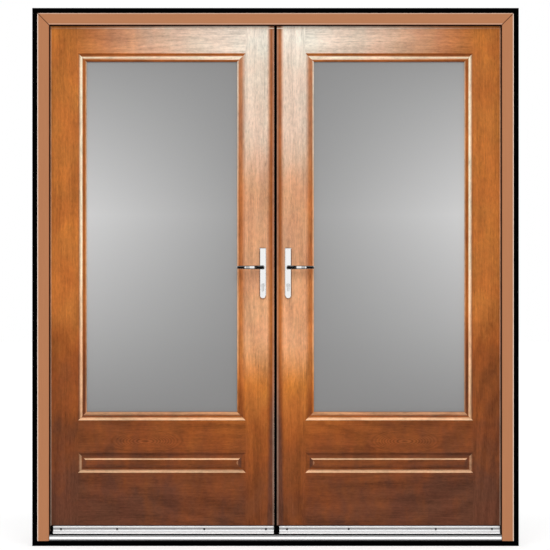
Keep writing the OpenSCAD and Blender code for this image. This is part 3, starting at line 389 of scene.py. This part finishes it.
# %% Colour helpers


def colour(red, green, blue):
    """A colour from the 0 to 255 numbers that a picture editor shows."""

    def linear(v):
        v /= 255
        return v / 12.92 if v <= 0.04045 else ((v + 0.055) / 1.055) ** 2.4

    return (linear(red), linear(green), linear(blue), 1)


def mix(tree, amount, first, second, how="MIX"):
    """Mixes two colours."""
    feed = {0: amount, 6: first, 7: second}
    return node(tree, "Mix", feed, data_type="RGBA", blend_type=how).outputs[2]


print("grey 128 is", round(colour(128, 128, 128)[0], 3), "of full light")

# %% [markdown]
# The colours of the stain.
# Seen from pale to deep, the stain isn't one hue made darker: it goes from a warm orange over brown to a dull reddish
# brown. A ramp of five tones holds that better than one colour that is only made darker.

# %% Stain colours
# The deeper tones also draw the painted shade of the leaves and the mouldings
BROWNS = (
    (0.0, colour(221, 136, 55)), (0.33, colour(184, 108, 49)), (0.6, colour(153, 82, 35)), (0.8, colour(127, 68, 35)),
    (1.0, colour(99, 58, 41)),
)
# The white of the painted sheen, the peach and cream of the painted highlights on the mouldings, and the white of the
# painted highlight on the rims
SHEEN_WHITE = colour(238, 229, 217)
HIGHLIGHT_PEACH, HIGHLIGHT_CREAM, RIM_WHITE = colour(255, 206, 164), colour(255, 240, 212), colour(250, 232, 214)


def stain_colour(tree, depth):
    """From pale over middle to deep brown."""
    ramp = node(tree, "ValToRGB", {0: depth})
    stops = ramp.color_ramp.elements
    stops[0].color = BROWNS[0][1]
    stops[1].color = BROWNS[-1][1]
    for position, tone in BROWNS[1:-1]:
        stops.new(position).color = tone
    return ramp.outputs[0]


print("browns:", len(BROWNS))

# %% [markdown]
# Materials in general.
# Every material starts from the place on its object's own axes, in metres, so that it stays put when a leaf swings.
# The left leaf's pieces come first in the record and are called active, because that leaf opens first.

# %% Material helpers


def new_material(name):
    """A material with its Principled shader and the place on the object's own axes."""
    made = bpy.data.materials.new(name)
    made.use_nodes = True
    shader = made.node_tree.nodes["Principled BSDF"]
    place = node(made.node_tree, "TexCoord").outputs["Object"]
    return made, made.node_tree, shader, place


def finish(tree, shader, tint, rough, relief, depth, strength=0.2):
    """Feeds a shader its colour and roughness, and a bump from relief, which is depth metres high."""
    tree.links.new(tint, shader.inputs["Base Color"])
    tree.links.new(rough, shader.inputs["Roughness"])
    bump = node(tree, "Bump", {"Strength": strength, "Distance": depth, "Height": relief})
    tree.links.new(bump.outputs[0], shader.inputs["Normal"])


def dress(material, *names):
    """Gives CAD nodes a material."""
    for name in names:
        nodes[name].data.materials.clear()
        nodes[name].data.materials.append(material)
    print(material.name, "on", len(names), "nodes")


def both(*names):
    """The same node of the left (active) and the right (passive) leaf."""
    return [f"{leaf}_{name}" for name in names for leaf in ("active", "passive")]


print("helpers: new_material, finish, dress, both")

# %% [markdown]
# Stained and lacquered oak for the skins.
# The grain runs up the stiles and along the rails. Both are on one pressed skin, so the material swaps the two axes
# between the stiles. The stain's colour runs through the browns, which also draw painted shade. A painted sheen,
# painted highlights on the mouldings and rims, and painted shade in the mouldings' hollows lie over it. The grain makes
# it lighter and darker, and a satin lacquer lies over all as a coat. A knot's figure sits in the rail over the lower
# panel.

# %% Oak skins
FIBRE_CONTRAST, PORE_CONTRAST, MOTTLE_CONTRAST = 0.42, -0.28, 0.85
RING_CONTRAST = (0.2, 0.09)  # low on the leaf and high on it
KNOT_SIDE, KNOT_UP, KNOT_STRETCH, KNOT_PULL = 0.515, 0.415385, (8.0, 26.0), 0.4
REDDER, GREENER = (1.035, 0.99, 0.95, 1), (0.975, 1.012, 0.985, 1)
DRIFT_CELLS, SHADE_DEPTH, MOST_HIGHLIGHT = (11, 11, 8), 0.3, 0.97


def knot(tree, side, up):
    """How far a knot bends the rings: most at its middle, none beyond its rim."""
    across = calc(tree, "MULTIPLY", calc(tree, "SUBTRACT", side, KNOT_SIDE), KNOT_STRETCH[0])
    along = calc(tree, "MULTIPLY", calc(tree, "SUBTRACT", up, KNOT_UP), KNOT_STRETCH[1])
    spot = node(tree, "CombineXYZ", {0: across, 2: along}).outputs[0]
    distance = node(tree, "VectorMath", {0: spot}, operation="LENGTH").outputs[1]
    return ease(tree, distance, 1.3, 0.0, 0.0, KNOT_PULL)


def oak(name, skin):
    """Stained oak with painted shade, sheen and highlights, for a whole skin with its pressed panel, or for the
    moulding round the glass.
    """
    made, tree, shader, place = new_material(name)
    parts = split(tree, place)
    low, high = PANEL if skin else GLAZING
    members = use(tree, members_group, {"Place": place, "Low": low, "High": high})
    # Painted highlights and painted shade, member by member of the moulding
    painted_highlight = bands(tree, members, PANEL_HIGHLIGHTS if skin else GLAZING_HIGHLIGHTS)
    painted_shade = bands(tree, members, PANEL_SHADE if skin else GLAZING_SHADE)
    contrast = ease(tree, parts["Z"], 0.6, 1.4, *RING_CONTRAST)
    if skin:
        side = calc(tree, "ABSOLUTE", parts["X"])
        figure = knot(tree, side, parts["Z"])
        contrast = calc(tree, "ADD", figure, contrast)
        level = product(tree, calc(tree, "GREATER_THAN", side, SIDE_NEAR), calc(tree, "LESS_THAN", side, SIDE_FAR))
    else:
        figure = 0.0
        level = calc(tree, "MAXIMUM", members["Head"], members["Foot"])
    grain = use(tree, grain_group, {"Place": turned_place(tree, place, parts, level), "Figure": figure})
    stain_and_light = use(tree, stain_light_group, {"Place": place})
    # The painted shade deepens the brown
    tint = stain_colour(tree, calc(tree, "MULTIPLY_ADD", painted_shade, SHADE_DEPTH, stain_and_light["Depth"]))
    kept = calc(tree, "SUBTRACT", 1.0, calc(tree, "MINIMUM", painted_shade, 1.0))
    # Painted sheen, kept out of the painted shade
    tint = mix(tree, calc(tree, "MULTIPLY", stain_and_light["Painted sheen"], kept), tint, SHEEN_WHITE)
    # Painted highlights: peach low on the leaf, creamier and stronger higher up
    pale = mix(tree, ease(tree, parts["Z"], 0.7, 1.3), HIGHLIGHT_PEACH, HIGHLIGHT_CREAM)
    share = calc(tree, "MULTIPLY", painted_highlight, ease(tree, parts["Z"], 0.3, 1.3, 0.75, 1.0))
    tint = mix(tree, calc(tree, "MINIMUM", share, MOST_HIGHLIGHT), tint, pale)
    # Painted highlight on the rims and in the line under the frame's head
    tint = mix(tree, stain_and_light["Rim highlight"], tint, RIM_WHITE)
    tone = calc(tree, "MULTIPLY_ADD", calc(tree, "SUBTRACT", 0.5, grain["Fibres"]), FIBRE_CONTRAST, 1.03)
    tone = calc(tree, "MULTIPLY_ADD", calc(tree, "SUBTRACT", 0.5, grain["Rings"]), contrast, tone)
    tone = calc(tree, "MULTIPLY_ADD", grain["Pores"], PORE_CONTRAST, tone)
    tone = calc(tree, "MULTIPLY_ADD", calc(tree, "SUBTRACT", grain["Mottle"], 0.5), MOTTLE_CONTRAST, tone)
    drift = ease(tree, noise(tree, place, DRIFT_CELLS, 3), 0.35, 0.65)
    tint = mix(tree, 1.0, tint, mix(tree, drift, REDDER, GREENER), "MULTIPLY")
    tint = mix(tree, 1.0, tint, tone, "MULTIPLY")
    relief = calc(tree, "MULTIPLY_ADD", grain["Pores"], -1.5, grain["Fibres"])
    finish(tree, shader, tint, ease(tree, grain["Fibres"], 0, 1, 0.42, 0.52), relief, 0.0004, 0.25)
    shader.inputs["Specular IOR Level"].default_value = 0.05
    shader.inputs["Coat Weight"].default_value = 0.12
    shader.inputs["Coat Roughness"].default_value = 0.3
    return made


dress(oak("Stained oak", True), *both("outer_skin", "inner_skin"))
dress(oak("Stained oak moulding", False), *both("outer_cassette", "inner_cassette"))

# %% [markdown]
# Foil on the frame.
# The frame's profiles are wrapped in a light brown foil, which is much plainer than the leaves: one colour with a very
# faint grain along each profile. A painted highlight runs along the outer edge and, on the head, in a line beside the
# inner one. The groove that is cleaned along each corner weld is dark, and painted shade darkens the inner edge beside
# the leaf. Each place is found from its distance inwards from the frame's outer edge, in metres.

# %% Frame foil
FRAME_SIDE, FRAME_TOP = 0.9475, 2.12
# Where a line begins and where it is full, inwards from the frame's outer edge, and for the weld from the mitre
EDGE_HIGHLIGHT, SIGHT_HIGHLIGHT, SIGHT_HIGHLIGHT_END = (0.0042, 0.0024), (0.041, 0.0425), (0.0455, 0.044)
WELD_LINE, INNER_EDGE_SHADE = (0.0028, 0.0014), (0.0455, 0.0465)
# The light colour paints the highlights; the dark one darkens the weld groove and paints the shade at the inner edge
FOIL, FOIL_GRAIN, FOIL_HIGHLIGHT, WELD_AND_SHADE = colour(189, 128, 89), colour(120, 72, 44), colour(255, 230, 212), colour(60, 20, 8)


def foil():
    made, tree, shader, place = new_material("Brown foil")
    parts = split(tree, place)
    in_from_side = calc(tree, "SUBTRACT", FRAME_SIDE, calc(tree, "ABSOLUTE", parts["X"]))
    in_from_top = calc(tree, "SUBTRACT", FRAME_TOP, parts["Z"])
    from_mitre = calc(tree, "SUBTRACT", in_from_side, in_from_top)
    on_head = calc(tree, "GREATER_THAN", from_mitre, 0.0)
    grain = use(tree, grain_group, {"Place": turned_place(tree, place, parts, on_head)})
    tint = mix(tree, calc(tree, "MULTIPLY", grain["Fibres"], 0.07), FOIL, FOIL_GRAIN)
    inwards = calc(tree, "MINIMUM", in_from_side, in_from_top)
    # Painted highlight along the outer edge, weaker on the head, and a painted highlight line beside the head's inner
    # edge
    edge = product(tree, ease(tree, inwards, *EDGE_HIGHLIGHT), calc(tree, "MULTIPLY_ADD", on_head, -0.5, 0.95))
    sight_highlight = product(tree, on_head, ease(tree, inwards, *SIGHT_HIGHLIGHT), ease(tree, inwards, *SIGHT_HIGHLIGHT_END), 0.35)
    tint = mix(tree, calc(tree, "MAXIMUM", edge, sight_highlight), tint, FOIL_HIGHLIGHT)
    weld = ease(tree, calc(tree, "ABSOLUTE", from_mitre), *WELD_LINE, 0.0, 0.9)
    # Painted shade along the inner edge, beside the gap to the leaf
    end = ease(tree, inwards, *INNER_EDGE_SHADE, 0.0, 0.9)
    tint = mix(tree, calc(tree, "MAXIMUM", weld, end), tint, WELD_AND_SHADE)
    finish(tree, shader, tint, ease(tree, grain["Fibres"], 0, 1, 0.5, 0.6), grain["Fibres"], 0.0002, 0.15)
    shader.inputs["Specular IOR Level"].default_value = 0.15
    return made


dress(foil(), "frame_head", "frame_jamb_left", "frame_jamb_right")

# %% [markdown]
# Satin glass.
# Each unit shows a soft grey with a painted reflection, lightest by the hinge side a little over half way up and darker
# towards the meeting stile, the top and the foot. The etched face is smooth to the eye but not clear, so it's an opaque
# satin surface under a thin polished coat.

# %% Glass
GLASS_LIGHT, GLASS_DARK = colour(210, 210, 210), colour(134, 134, 134)
# Height of the lightest place, over how many metres the light fades above it, and the share of that pace below
LIGHTEST_AT, FADE, PACE_BELOW = 1.317, 0.8, 0.92
GLASS_MEET, GLASS_HINGE, MEET_SHARE = 0.145, 0.76, 0.3  # the two sides of the glass, and the light by the first


def satin_glass():
    made, tree, shader, place = new_material("Satin glass")
    parts = split(tree, place)
    side = calc(tree, "ABSOLUTE", parts["X"])
    above = calc(tree, "SUBTRACT", parts["Z"], LIGHTEST_AT)
    from_peak = calc(tree, "MAXIMUM", above, calc(tree, "MULTIPLY", above, -PACE_BELOW))
    up = node(tree, "MapRange", {"Value": from_peak, "From Max": FADE, "To Min": 1.0, "To Max": 0.0}).outputs[0]
    across = {"Value": side, "From Min": GLASS_MEET, "From Max": GLASS_HINGE, "To Min": MEET_SHARE, "To Max": 1.0}
    # Painted reflection: lightest by the hinge side a little over half way up, fading above, below and towards the
    # meeting stile
    light = calc(tree, "MULTIPLY", up, node(tree, "MapRange", across).outputs[0])
    etch = noise(tree, place, (900, 900, 900), 3)
    light = calc(tree, "MULTIPLY_ADD", calc(tree, "SUBTRACT", etch, 0.5), 0.03, light)
    tint = mix(tree, light, GLASS_DARK, GLASS_LIGHT)
    finish(tree, shader, tint, ease(tree, etch, 0.3, 0.7, 0.28, 0.38), etch, 0.00002)
    shader.inputs["Specular IOR Level"].default_value = 0.1
    shader.inputs["Coat Weight"].default_value = 0.4
    shader.inputs["Coat Roughness"].default_value = 0.04
    return made


dress(satin_glass(), *both("glass"))

# %% [markdown]
# Metals.
# Handles, hinges and keeps are polished chrome, and the cylinders satin nickel. The weather bars, the threshold and the
# strips in the meeting edges are aluminium, which shows fine lines along its length from the die. What lies inside the
# leaves and the frame is zinc plated steel.

# %% Metal helpers


def metal(name, base, dark, rough, along, relief=0.1):
    """A metal with fine lines along one axis."""
    made, tree, shader, place = new_material(name)
    stretch = [900.0, 900.0, 900.0]
    stretch["XYZ".index(along)] = 10.0
    lines = noise(tree, place, stretch)
    tint = mix(tree, ease(tree, lines, 0.35, 0.7), base, dark)
    finish(tree, shader, tint, ease(tree, lines, 0.3, 0.7, *rough), lines, 0.0001, relief)
    shader.inputs["Metallic"].default_value = 1.0
    return made


def shade_along(material, axis, shades):
    """Darkens a material along an axis, alike on both sides of the middle. shades lists metres and greys up to 255."""
    start, end = shades[0][0], shades[-1][0]
    tree = material.node_tree
    tint = tree.nodes["Principled BSDF"].inputs["Base Color"]
    place = calc(tree, "ABSOLUTE", split(tree, node(tree, "TexCoord").outputs["Object"])[axis])
    along = node(tree, "MapRange", {"Value": place, "From Min": start, "From Max": end}).outputs[0]
    ramp = node(tree, "ValToRGB", {0: along})
    stops = ramp.color_ramp.elements
    stops[0].color, stops[1].color = [colour(grey, grey, grey) for _, grey in (shades[0], shades[-1])]
    for at, grey in shades[1:-1]:
        stops.new((at - start) / (end - start)).color = colour(grey, grey, grey)
    tree.links.new(mix(tree, 1.0, tint.links[0].from_socket, ramp.outputs[0], "MULTIPLY"), tint)


print("helpers: metal, shade_along")

# %% [markdown]
# Painted reflections and painted shade on metal parts. A lever gets a painted dark reflection on a collar where its
# neck ends, a lighter grey one on the flat beside it, and a grey one further out along its grip. The weather bar and
# the threshold are ribbed lengthwise: painted shade darkens their grooves, the bands below their ledges, the top of the
# bar and the foot of the threshold, and their ridges are painted plain white by a base a little over 1. Both are lists
# of greys along one axis.

# %% Shades
# Painted reflections along the lever: a lighter grey on the flat beside the collar, dark on the collar, and grey
# further out along the grip
LEVER_SHADES = (
    (0.05, 255), (0.069, 255), (0.0705, 215), (0.0735, 205), (0.075, 70), (0.083, 70), (0.0845, 255), (0.1015, 255),
    (0.104, 195), (0.117, 190), (0.12, 255),
)
# Painted shade in the grooves and below the ledges of the threshold and the bar, at the threshold's foot and on the
# bar's top; 255 leaves the base as it is
BAR_SHADES = (
    (0.019, 30), (0.0232, 44), (0.0248, 150), (0.0272, 162), (0.0288, 255), (0.0352, 255), (0.0368, 156),
    (0.0392, 150), (0.0408, 150), (0.0445, 148), (0.0475, 255), (0.0516, 255), (0.0526, 218), (0.0596, 222),
    (0.0608, 236), (0.0632, 236), (0.0646, 136), (0.0714, 146), (0.0728, 212), (0.0752, 216), (0.0762, 255),
    (0.0782, 255), (0.0788, 10), (0.081, 10),
)
print("shades on levers and bars:", len(LEVER_SHADES), len(BAR_SHADES))

# %% Metals
aluminium = metal("Drawn aluminium", colour(250, 251, 252), colour(232, 234, 238), (0.3, 0.42), "X")
strip_metal = metal("Aluminium strip", colour(222, 224, 228), colour(196, 199, 204), (0.3, 0.42), "Z")
nickel = metal("Satin nickel", colour(240, 239, 237), colour(230, 229, 227), (0.13, 0.19), "Z", 0.03)
chrome = metal("Polished chrome", colour(243, 243, 242), colour(240, 240, 239), (0.05, 0.07), "Z", 0.004)
lever_chrome = metal("Lever chrome", colour(243, 243, 242), colour(240, 240, 239), (0.05, 0.07), "X", 0.004)
shade_along(lever_chrome, "X", LEVER_SHADES)
# A base over 1 paints the ridges of the bar and the threshold plain white, and the low metallic lets the painted greys
# show
bar_metal = metal("Bar aluminium", (1.3, 1.3, 1.3, 1), (1.25, 1.26, 1.27, 1), (0.26, 0.34), "X")
bar_metal.node_tree.nodes["Principled BSDF"].inputs["Metallic"].default_value = 0.1
shade_along(bar_metal, "Z", BAR_SHADES)
steel = metal("Zinc plated steel", colour(186, 188, 190), colour(158, 160, 164), (0.34, 0.5), "Z")
dress(aluminium, *both("spacer"))
dress(bar_metal, "threshold", *both("weather_bar"))
dress(strip_metal, "active_lock_strip", "passive_keep_strip")
dress(nickel, *both("cylinder", "plug"))
dress(chrome, "frame_hinge_flags", "hinge_pins", "bolt_keeps", *both("hinge_flags", "handle_plates"))
dress(lever_chrome, *both("levers"))
dress(steel, "frame_steels", "active_lock_cases", "passive_lock_case", "latch_bolt", "deadbolt", "hook_top",
      "hook_bottom", "drive_rods", "shoot_bolt_top", "shoot_bolt_bottom", *both("spindle"))

# %% [markdown]
# Black plastic and rubber, raw timber and foam.
# The add-on profiles, the sill, the meeting profile and the blocks on the weather bars are black plastic, which shows a
# fine moulded texture and little gloss. The gaskets are softer and duller. Timber and foam show only where a leaf's
# edge is seen.

# %% Plastic, rubber, timber and foam


def moulded(name, base, worn, rough, scale, coarse=0.0002):
    """A plain moulded or foamed material with a fine speckle."""
    made, tree, shader, place = new_material(name)
    speck = noise(tree, place, (scale, scale, scale), 3)
    tint = mix(tree, ease(tree, speck, 0.45, 0.75), base, worn)
    finish(tree, shader, tint, ease(tree, speck, 0.3, 0.7, *rough), speck, coarse)
    shader.inputs["Specular IOR Level"].default_value = 0.01
    return made


def raw_timber():
    made, tree, shader, place = new_material("Raw timber")
    grain = use(tree, grain_group, {"Place": place, "Rings": 26.0})
    tint = mix(tree, grain["Rings"], colour(214, 178, 128), colour(184, 142, 92))
    tint = mix(tree, calc(tree, "MULTIPLY", grain["Fibres"], 0.4), tint, colour(150, 108, 66))
    finish(tree, shader, tint, ease(tree, grain["Fibres"], 0, 1, 0.6, 0.8), grain["Fibres"], 0.0004)
    return made


black = moulded("Black plastic", colour(1, 1, 1), colour(5, 5, 5), (0.5, 0.65), 1400.0)
rubber = moulded("Rubber", colour(5, 5, 5), colour(14, 13, 12), (0.75, 0.9), 700.0)
dress(black, "add_on_profiles", "sub_sill", "meeting_profile", *both("bar_ends", "bar_screws"))
dress(rubber, "frame_gasket", "threshold_seal", "meeting_gasket")
dress(raw_timber(), *both("timber"))
dress(moulded("Foam", colour(226, 208, 158), colour(204, 184, 132), (0.85, 0.95), 500.0, 0.0006), *both("foam"))

# %% [markdown]
# Making small parts.
# A part of its own starts as a profile, a list of points, that is carried along a line or turned round an axis. These
# helpers build such meshes, give them a material and let them ride on the body that carries them.

# %% Part helpers


def finish_part(name, shape, material, body):
    """Turns the finished shape into an object that rides on a body."""
    bmesh.ops.recalc_face_normals(shape, faces=shape.faces)
    mesh = bpy.data.meshes.new(name)
    shape.to_mesh(mesh)
    shape.free()
    mesh.materials.append(material)
    part = bpy.data.objects.new(name, mesh)
    bpy.context.scene.collection.objects.link(part)
    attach(part, body)


def extrude(shape, profile, low, high):
    """Carries a closed profile in X and Y up from low to high."""
    rings = [[shape.verts.new((x, y, z)) for x, y in profile] for z in (low, high)]
    count = len(profile)
    for i in range(count):
        j = (i + 1) % count
        shape.faces.new((rings[0][i], rings[0][j], rings[1][j], rings[1][i]))
    shape.faces.new(rings[0][::-1])
    shape.faces.new(rings[1])


print("helpers: finish_part, extrude")

# %% [markdown]
# The fin between the leaves.
# A thin rubber fin on the passive leaf's profile reaches over to the other leaf and keeps the light out of the gap.
# The real fin bends out of the way when a leaf moves; this one is a stiff mesh on the passive leaf, so at rest it stops
# a hair short of the active leaf.

# %% Fin
FIN_PROFILE = (
    (-0.0018, -0.0086), (-0.0046, -0.0084), (-0.00545, -0.0088), (-0.00545, -0.0083), (-0.0046, -0.0078),
    (-0.0018, -0.0078),
)
fin = bmesh.new()
extrude(fin, FIN_PROFILE, LEAF_FOOT, LEAF_TOP)
finish_part("gap_fin", fin, rubber, "passive_leaf")
print("fin:", round(LEAF_TOP - LEAF_FOOT, 3), "m long")

# %% [markdown]
# Screws.
# Raised countersunk heads with a cross recess hold the hinge flags, the inside handle plates, the keeps and the strips
# in the meeting edges. Each head is a low dome that is lathed from three rings, with the cross cut down into it.

# %% Screw helpers
HEAD_RADIUS, HEAD_RISE, HEAD_POINTS = 0.004, 0.0008, 24
DOME = ((1, 0), (0.92, 0.55), (0.62, 1))  # shares of the radius and of the rise, from the rim up
CROSS_NARROW, CROSS_LONG, CROSS_FLOOR = 0.13, 0.46, 0.1  # shares too: the cross's half width, its reach, its floor


def screw(shape, centre, facing):
    """Adds one head to the shape. Centre lies on the surface that facing points away from."""
    pose = Matrix.Translation(centre) @ Vector(facing).to_track_quat("Z", "Y").to_matrix().to_4x4()
    turns = [math.tau * i / HEAD_POINTS for i in range(HEAD_POINTS)]
    round_points = [(math.cos(turn), math.sin(turn)) for turn in turns]
    rings = [[Vector((HEAD_RADIUS * share * x, HEAD_RADIUS * share * y, HEAD_RISE * height)) for x, y in round_points]
             for share, height in DOME]
    narrow, long = CROSS_NARROW * HEAD_RADIUS, CROSS_LONG * HEAD_RADIUS
    corner = [(long, -narrow), (long, narrow), (narrow, narrow)]
    cross = list(corner)
    for _ in range(3):
        corner = [(-y, x) for x, y in corner]
        cross += corner
    mouth = [Vector((x, y, HEAD_RISE)) for x, y in cross]
    floor = [Vector((x, y, HEAD_RISE * CROSS_FLOOR)) for x, y in cross]
    rows = [[shape.verts.new(pose @ p) for p in row] for row in (*rings, mouth, floor)]
    for low, high in ((rows[0], rows[1]), (rows[1], rows[2]), (rows[3], rows[4])):
        for i in range(len(low)):
            j = (i + 1) % len(low)
            shape.faces.new((low[i], low[j], high[j], high[i]))
    flat = rows[2] + rows[3]
    for triangle in tessellate_polygon([rings[2], mouth]):
        shape.faces.new([flat[i] for i in triangle])
    shape.faces.new(rows[4])


def screws(name, places, material, body):
    """places lists a centre in millimetres and a direction for each screw."""
    shape = bmesh.new()
    for (x, y, z), facing in places:
        screw(shape, Vector((x / 1000, y / 1000, z / 1000)), facing)
    finish_part(name, shape, material, body)
    print(name, len(places), "screws")


print("points round a screw head:", HEAD_POINTS)

# %% Screws
HINGE_HEIGHTS, HINGE_SPACING = (253, 1067, 1881), 32
STRIP_HEIGHTS = (180, 300, 540, 760, 940, 1240, 1460, 1660, 1880, 1970)
INDOORS = (0, 1, 0)
for leaf, side, edge in (("active", -1, -5.5), ("passive", 1, -1.5)):
    plate = [((side * 50.5, 43.5, z), INDOORS) for z in (1170.4, 999.4)]
    leaf_flags = [((side * x, 37.5, z + dz), INDOORS) for z in HINGE_HEIGHTS
                  for x, dz in ((886, -HINGE_SPACING), (893, 0), (886, HINGE_SPACING))]
    screws(f"{leaf}_plate_screws", plate + leaf_flags, chrome, f"{leaf}_leaf")
    strip = [((edge, 12.5, z), (-side, 0, 0)) for z in STRIP_HEIGHTS]
    screws(f"{leaf}_strip_screws", strip, steel, f"{leaf}_leaf")
frame_flags = [((x, 38, z + dz), INDOORS) for z in HINGE_HEIGHTS for dz in (-HINGE_SPACING, 0, HINGE_SPACING)
               for x in (-935, 935)]
keeps = [((x, 12.5, z), (0, 0, up)) for x in (8, 55) for z, up in ((45.5, 1), (2088.5, -1))]
screws("frame_screws", frame_flags + keeps, chrome, "frame")

# %% [markdown]
# The floor.
# It isn't part of the doors. The camera sees it pale and plain, and it keeps the doors' soft shadow. Mirror reflections
# see it dark where they look straight down, which draws the underside of levers and bars, and where the dark flags of
# the room stand before it.

# %% Floor
FLOOR_EDGE = 60  # metres from the middle, so far off that its end isn't seen
FLOOR_GLOW = 0.42  # brings the lit floor up to the white of the room, for the camera and not for mirrors
FLOOR_PALE, FLOOR_CLOUD = (0.9, 0.9, 0.9, 1), (0.88, 0.88, 0.88, 1)
MIRRORED_BELOW, MIRRORED_FLAG = (0.08, 0.08, 0.08, 1), (0.01, 0.01, 0.01, 1)


def pale_floor():
    mesh = bpy.data.meshes.new("Floor")
    corners = [(x * FLOOR_EDGE, y * FLOOR_EDGE, 0) for x, y in ((-1, -1), (1, -1), (1, 1), (-1, 1))]
    mesh.from_pydata(corners, [], [(0, 1, 2, 3)])
    floor = bpy.data.objects.new("Floor", mesh)
    bpy.context.scene.collection.objects.link(floor)
    made, tree, shader, place = new_material("Floor")
    cloud = noise(tree, place, (3, 3, 3))
    tint = mix(tree, cloud, FLOOR_PALE, FLOOR_CLOUD)
    path = node(tree, "LightPath").outputs
    facing = node(tree, "LayerWeight", {"Blend": 0.5}).outputs["Facing"]
    seen = mix(tree, ease(tree, facing, 0.5, 0.85), MIRRORED_BELOW, tint)
    back = node(tree, "NewGeometry").outputs["Incoming"]
    onward = node(tree, "VectorMath", {0: back, 1: (-1, -1, -1)}, operation="MULTIPLY").outputs[0]
    behind = flag_mask(tree, split(tree, onward))
    seen = mix(tree, behind, seen, MIRRORED_FLAG)
    tint = mix(tree, path["Is Glossy Ray"], tint, seen)
    finish(tree, shader, tint, ease(tree, cloud, 0, 1, 0.88, 0.92), cloud, 0.0001)
    shader.inputs["Specular IOR Level"].default_value = 0.0
    direct = calc(tree, "MAXIMUM", path["Is Camera Ray"], path["Is Transmission Ray"])
    shader.inputs["Emission Color"].default_value = (1, 1, 1, 1)
    tree.links.new(calc(tree, "MULTIPLY", direct, FLOOR_GLOW), shader.inputs["Emission Strength"])
    mesh.materials.append(made)


pale_floor()
print("floor edge:", FLOOR_EDGE, "m from the middle")
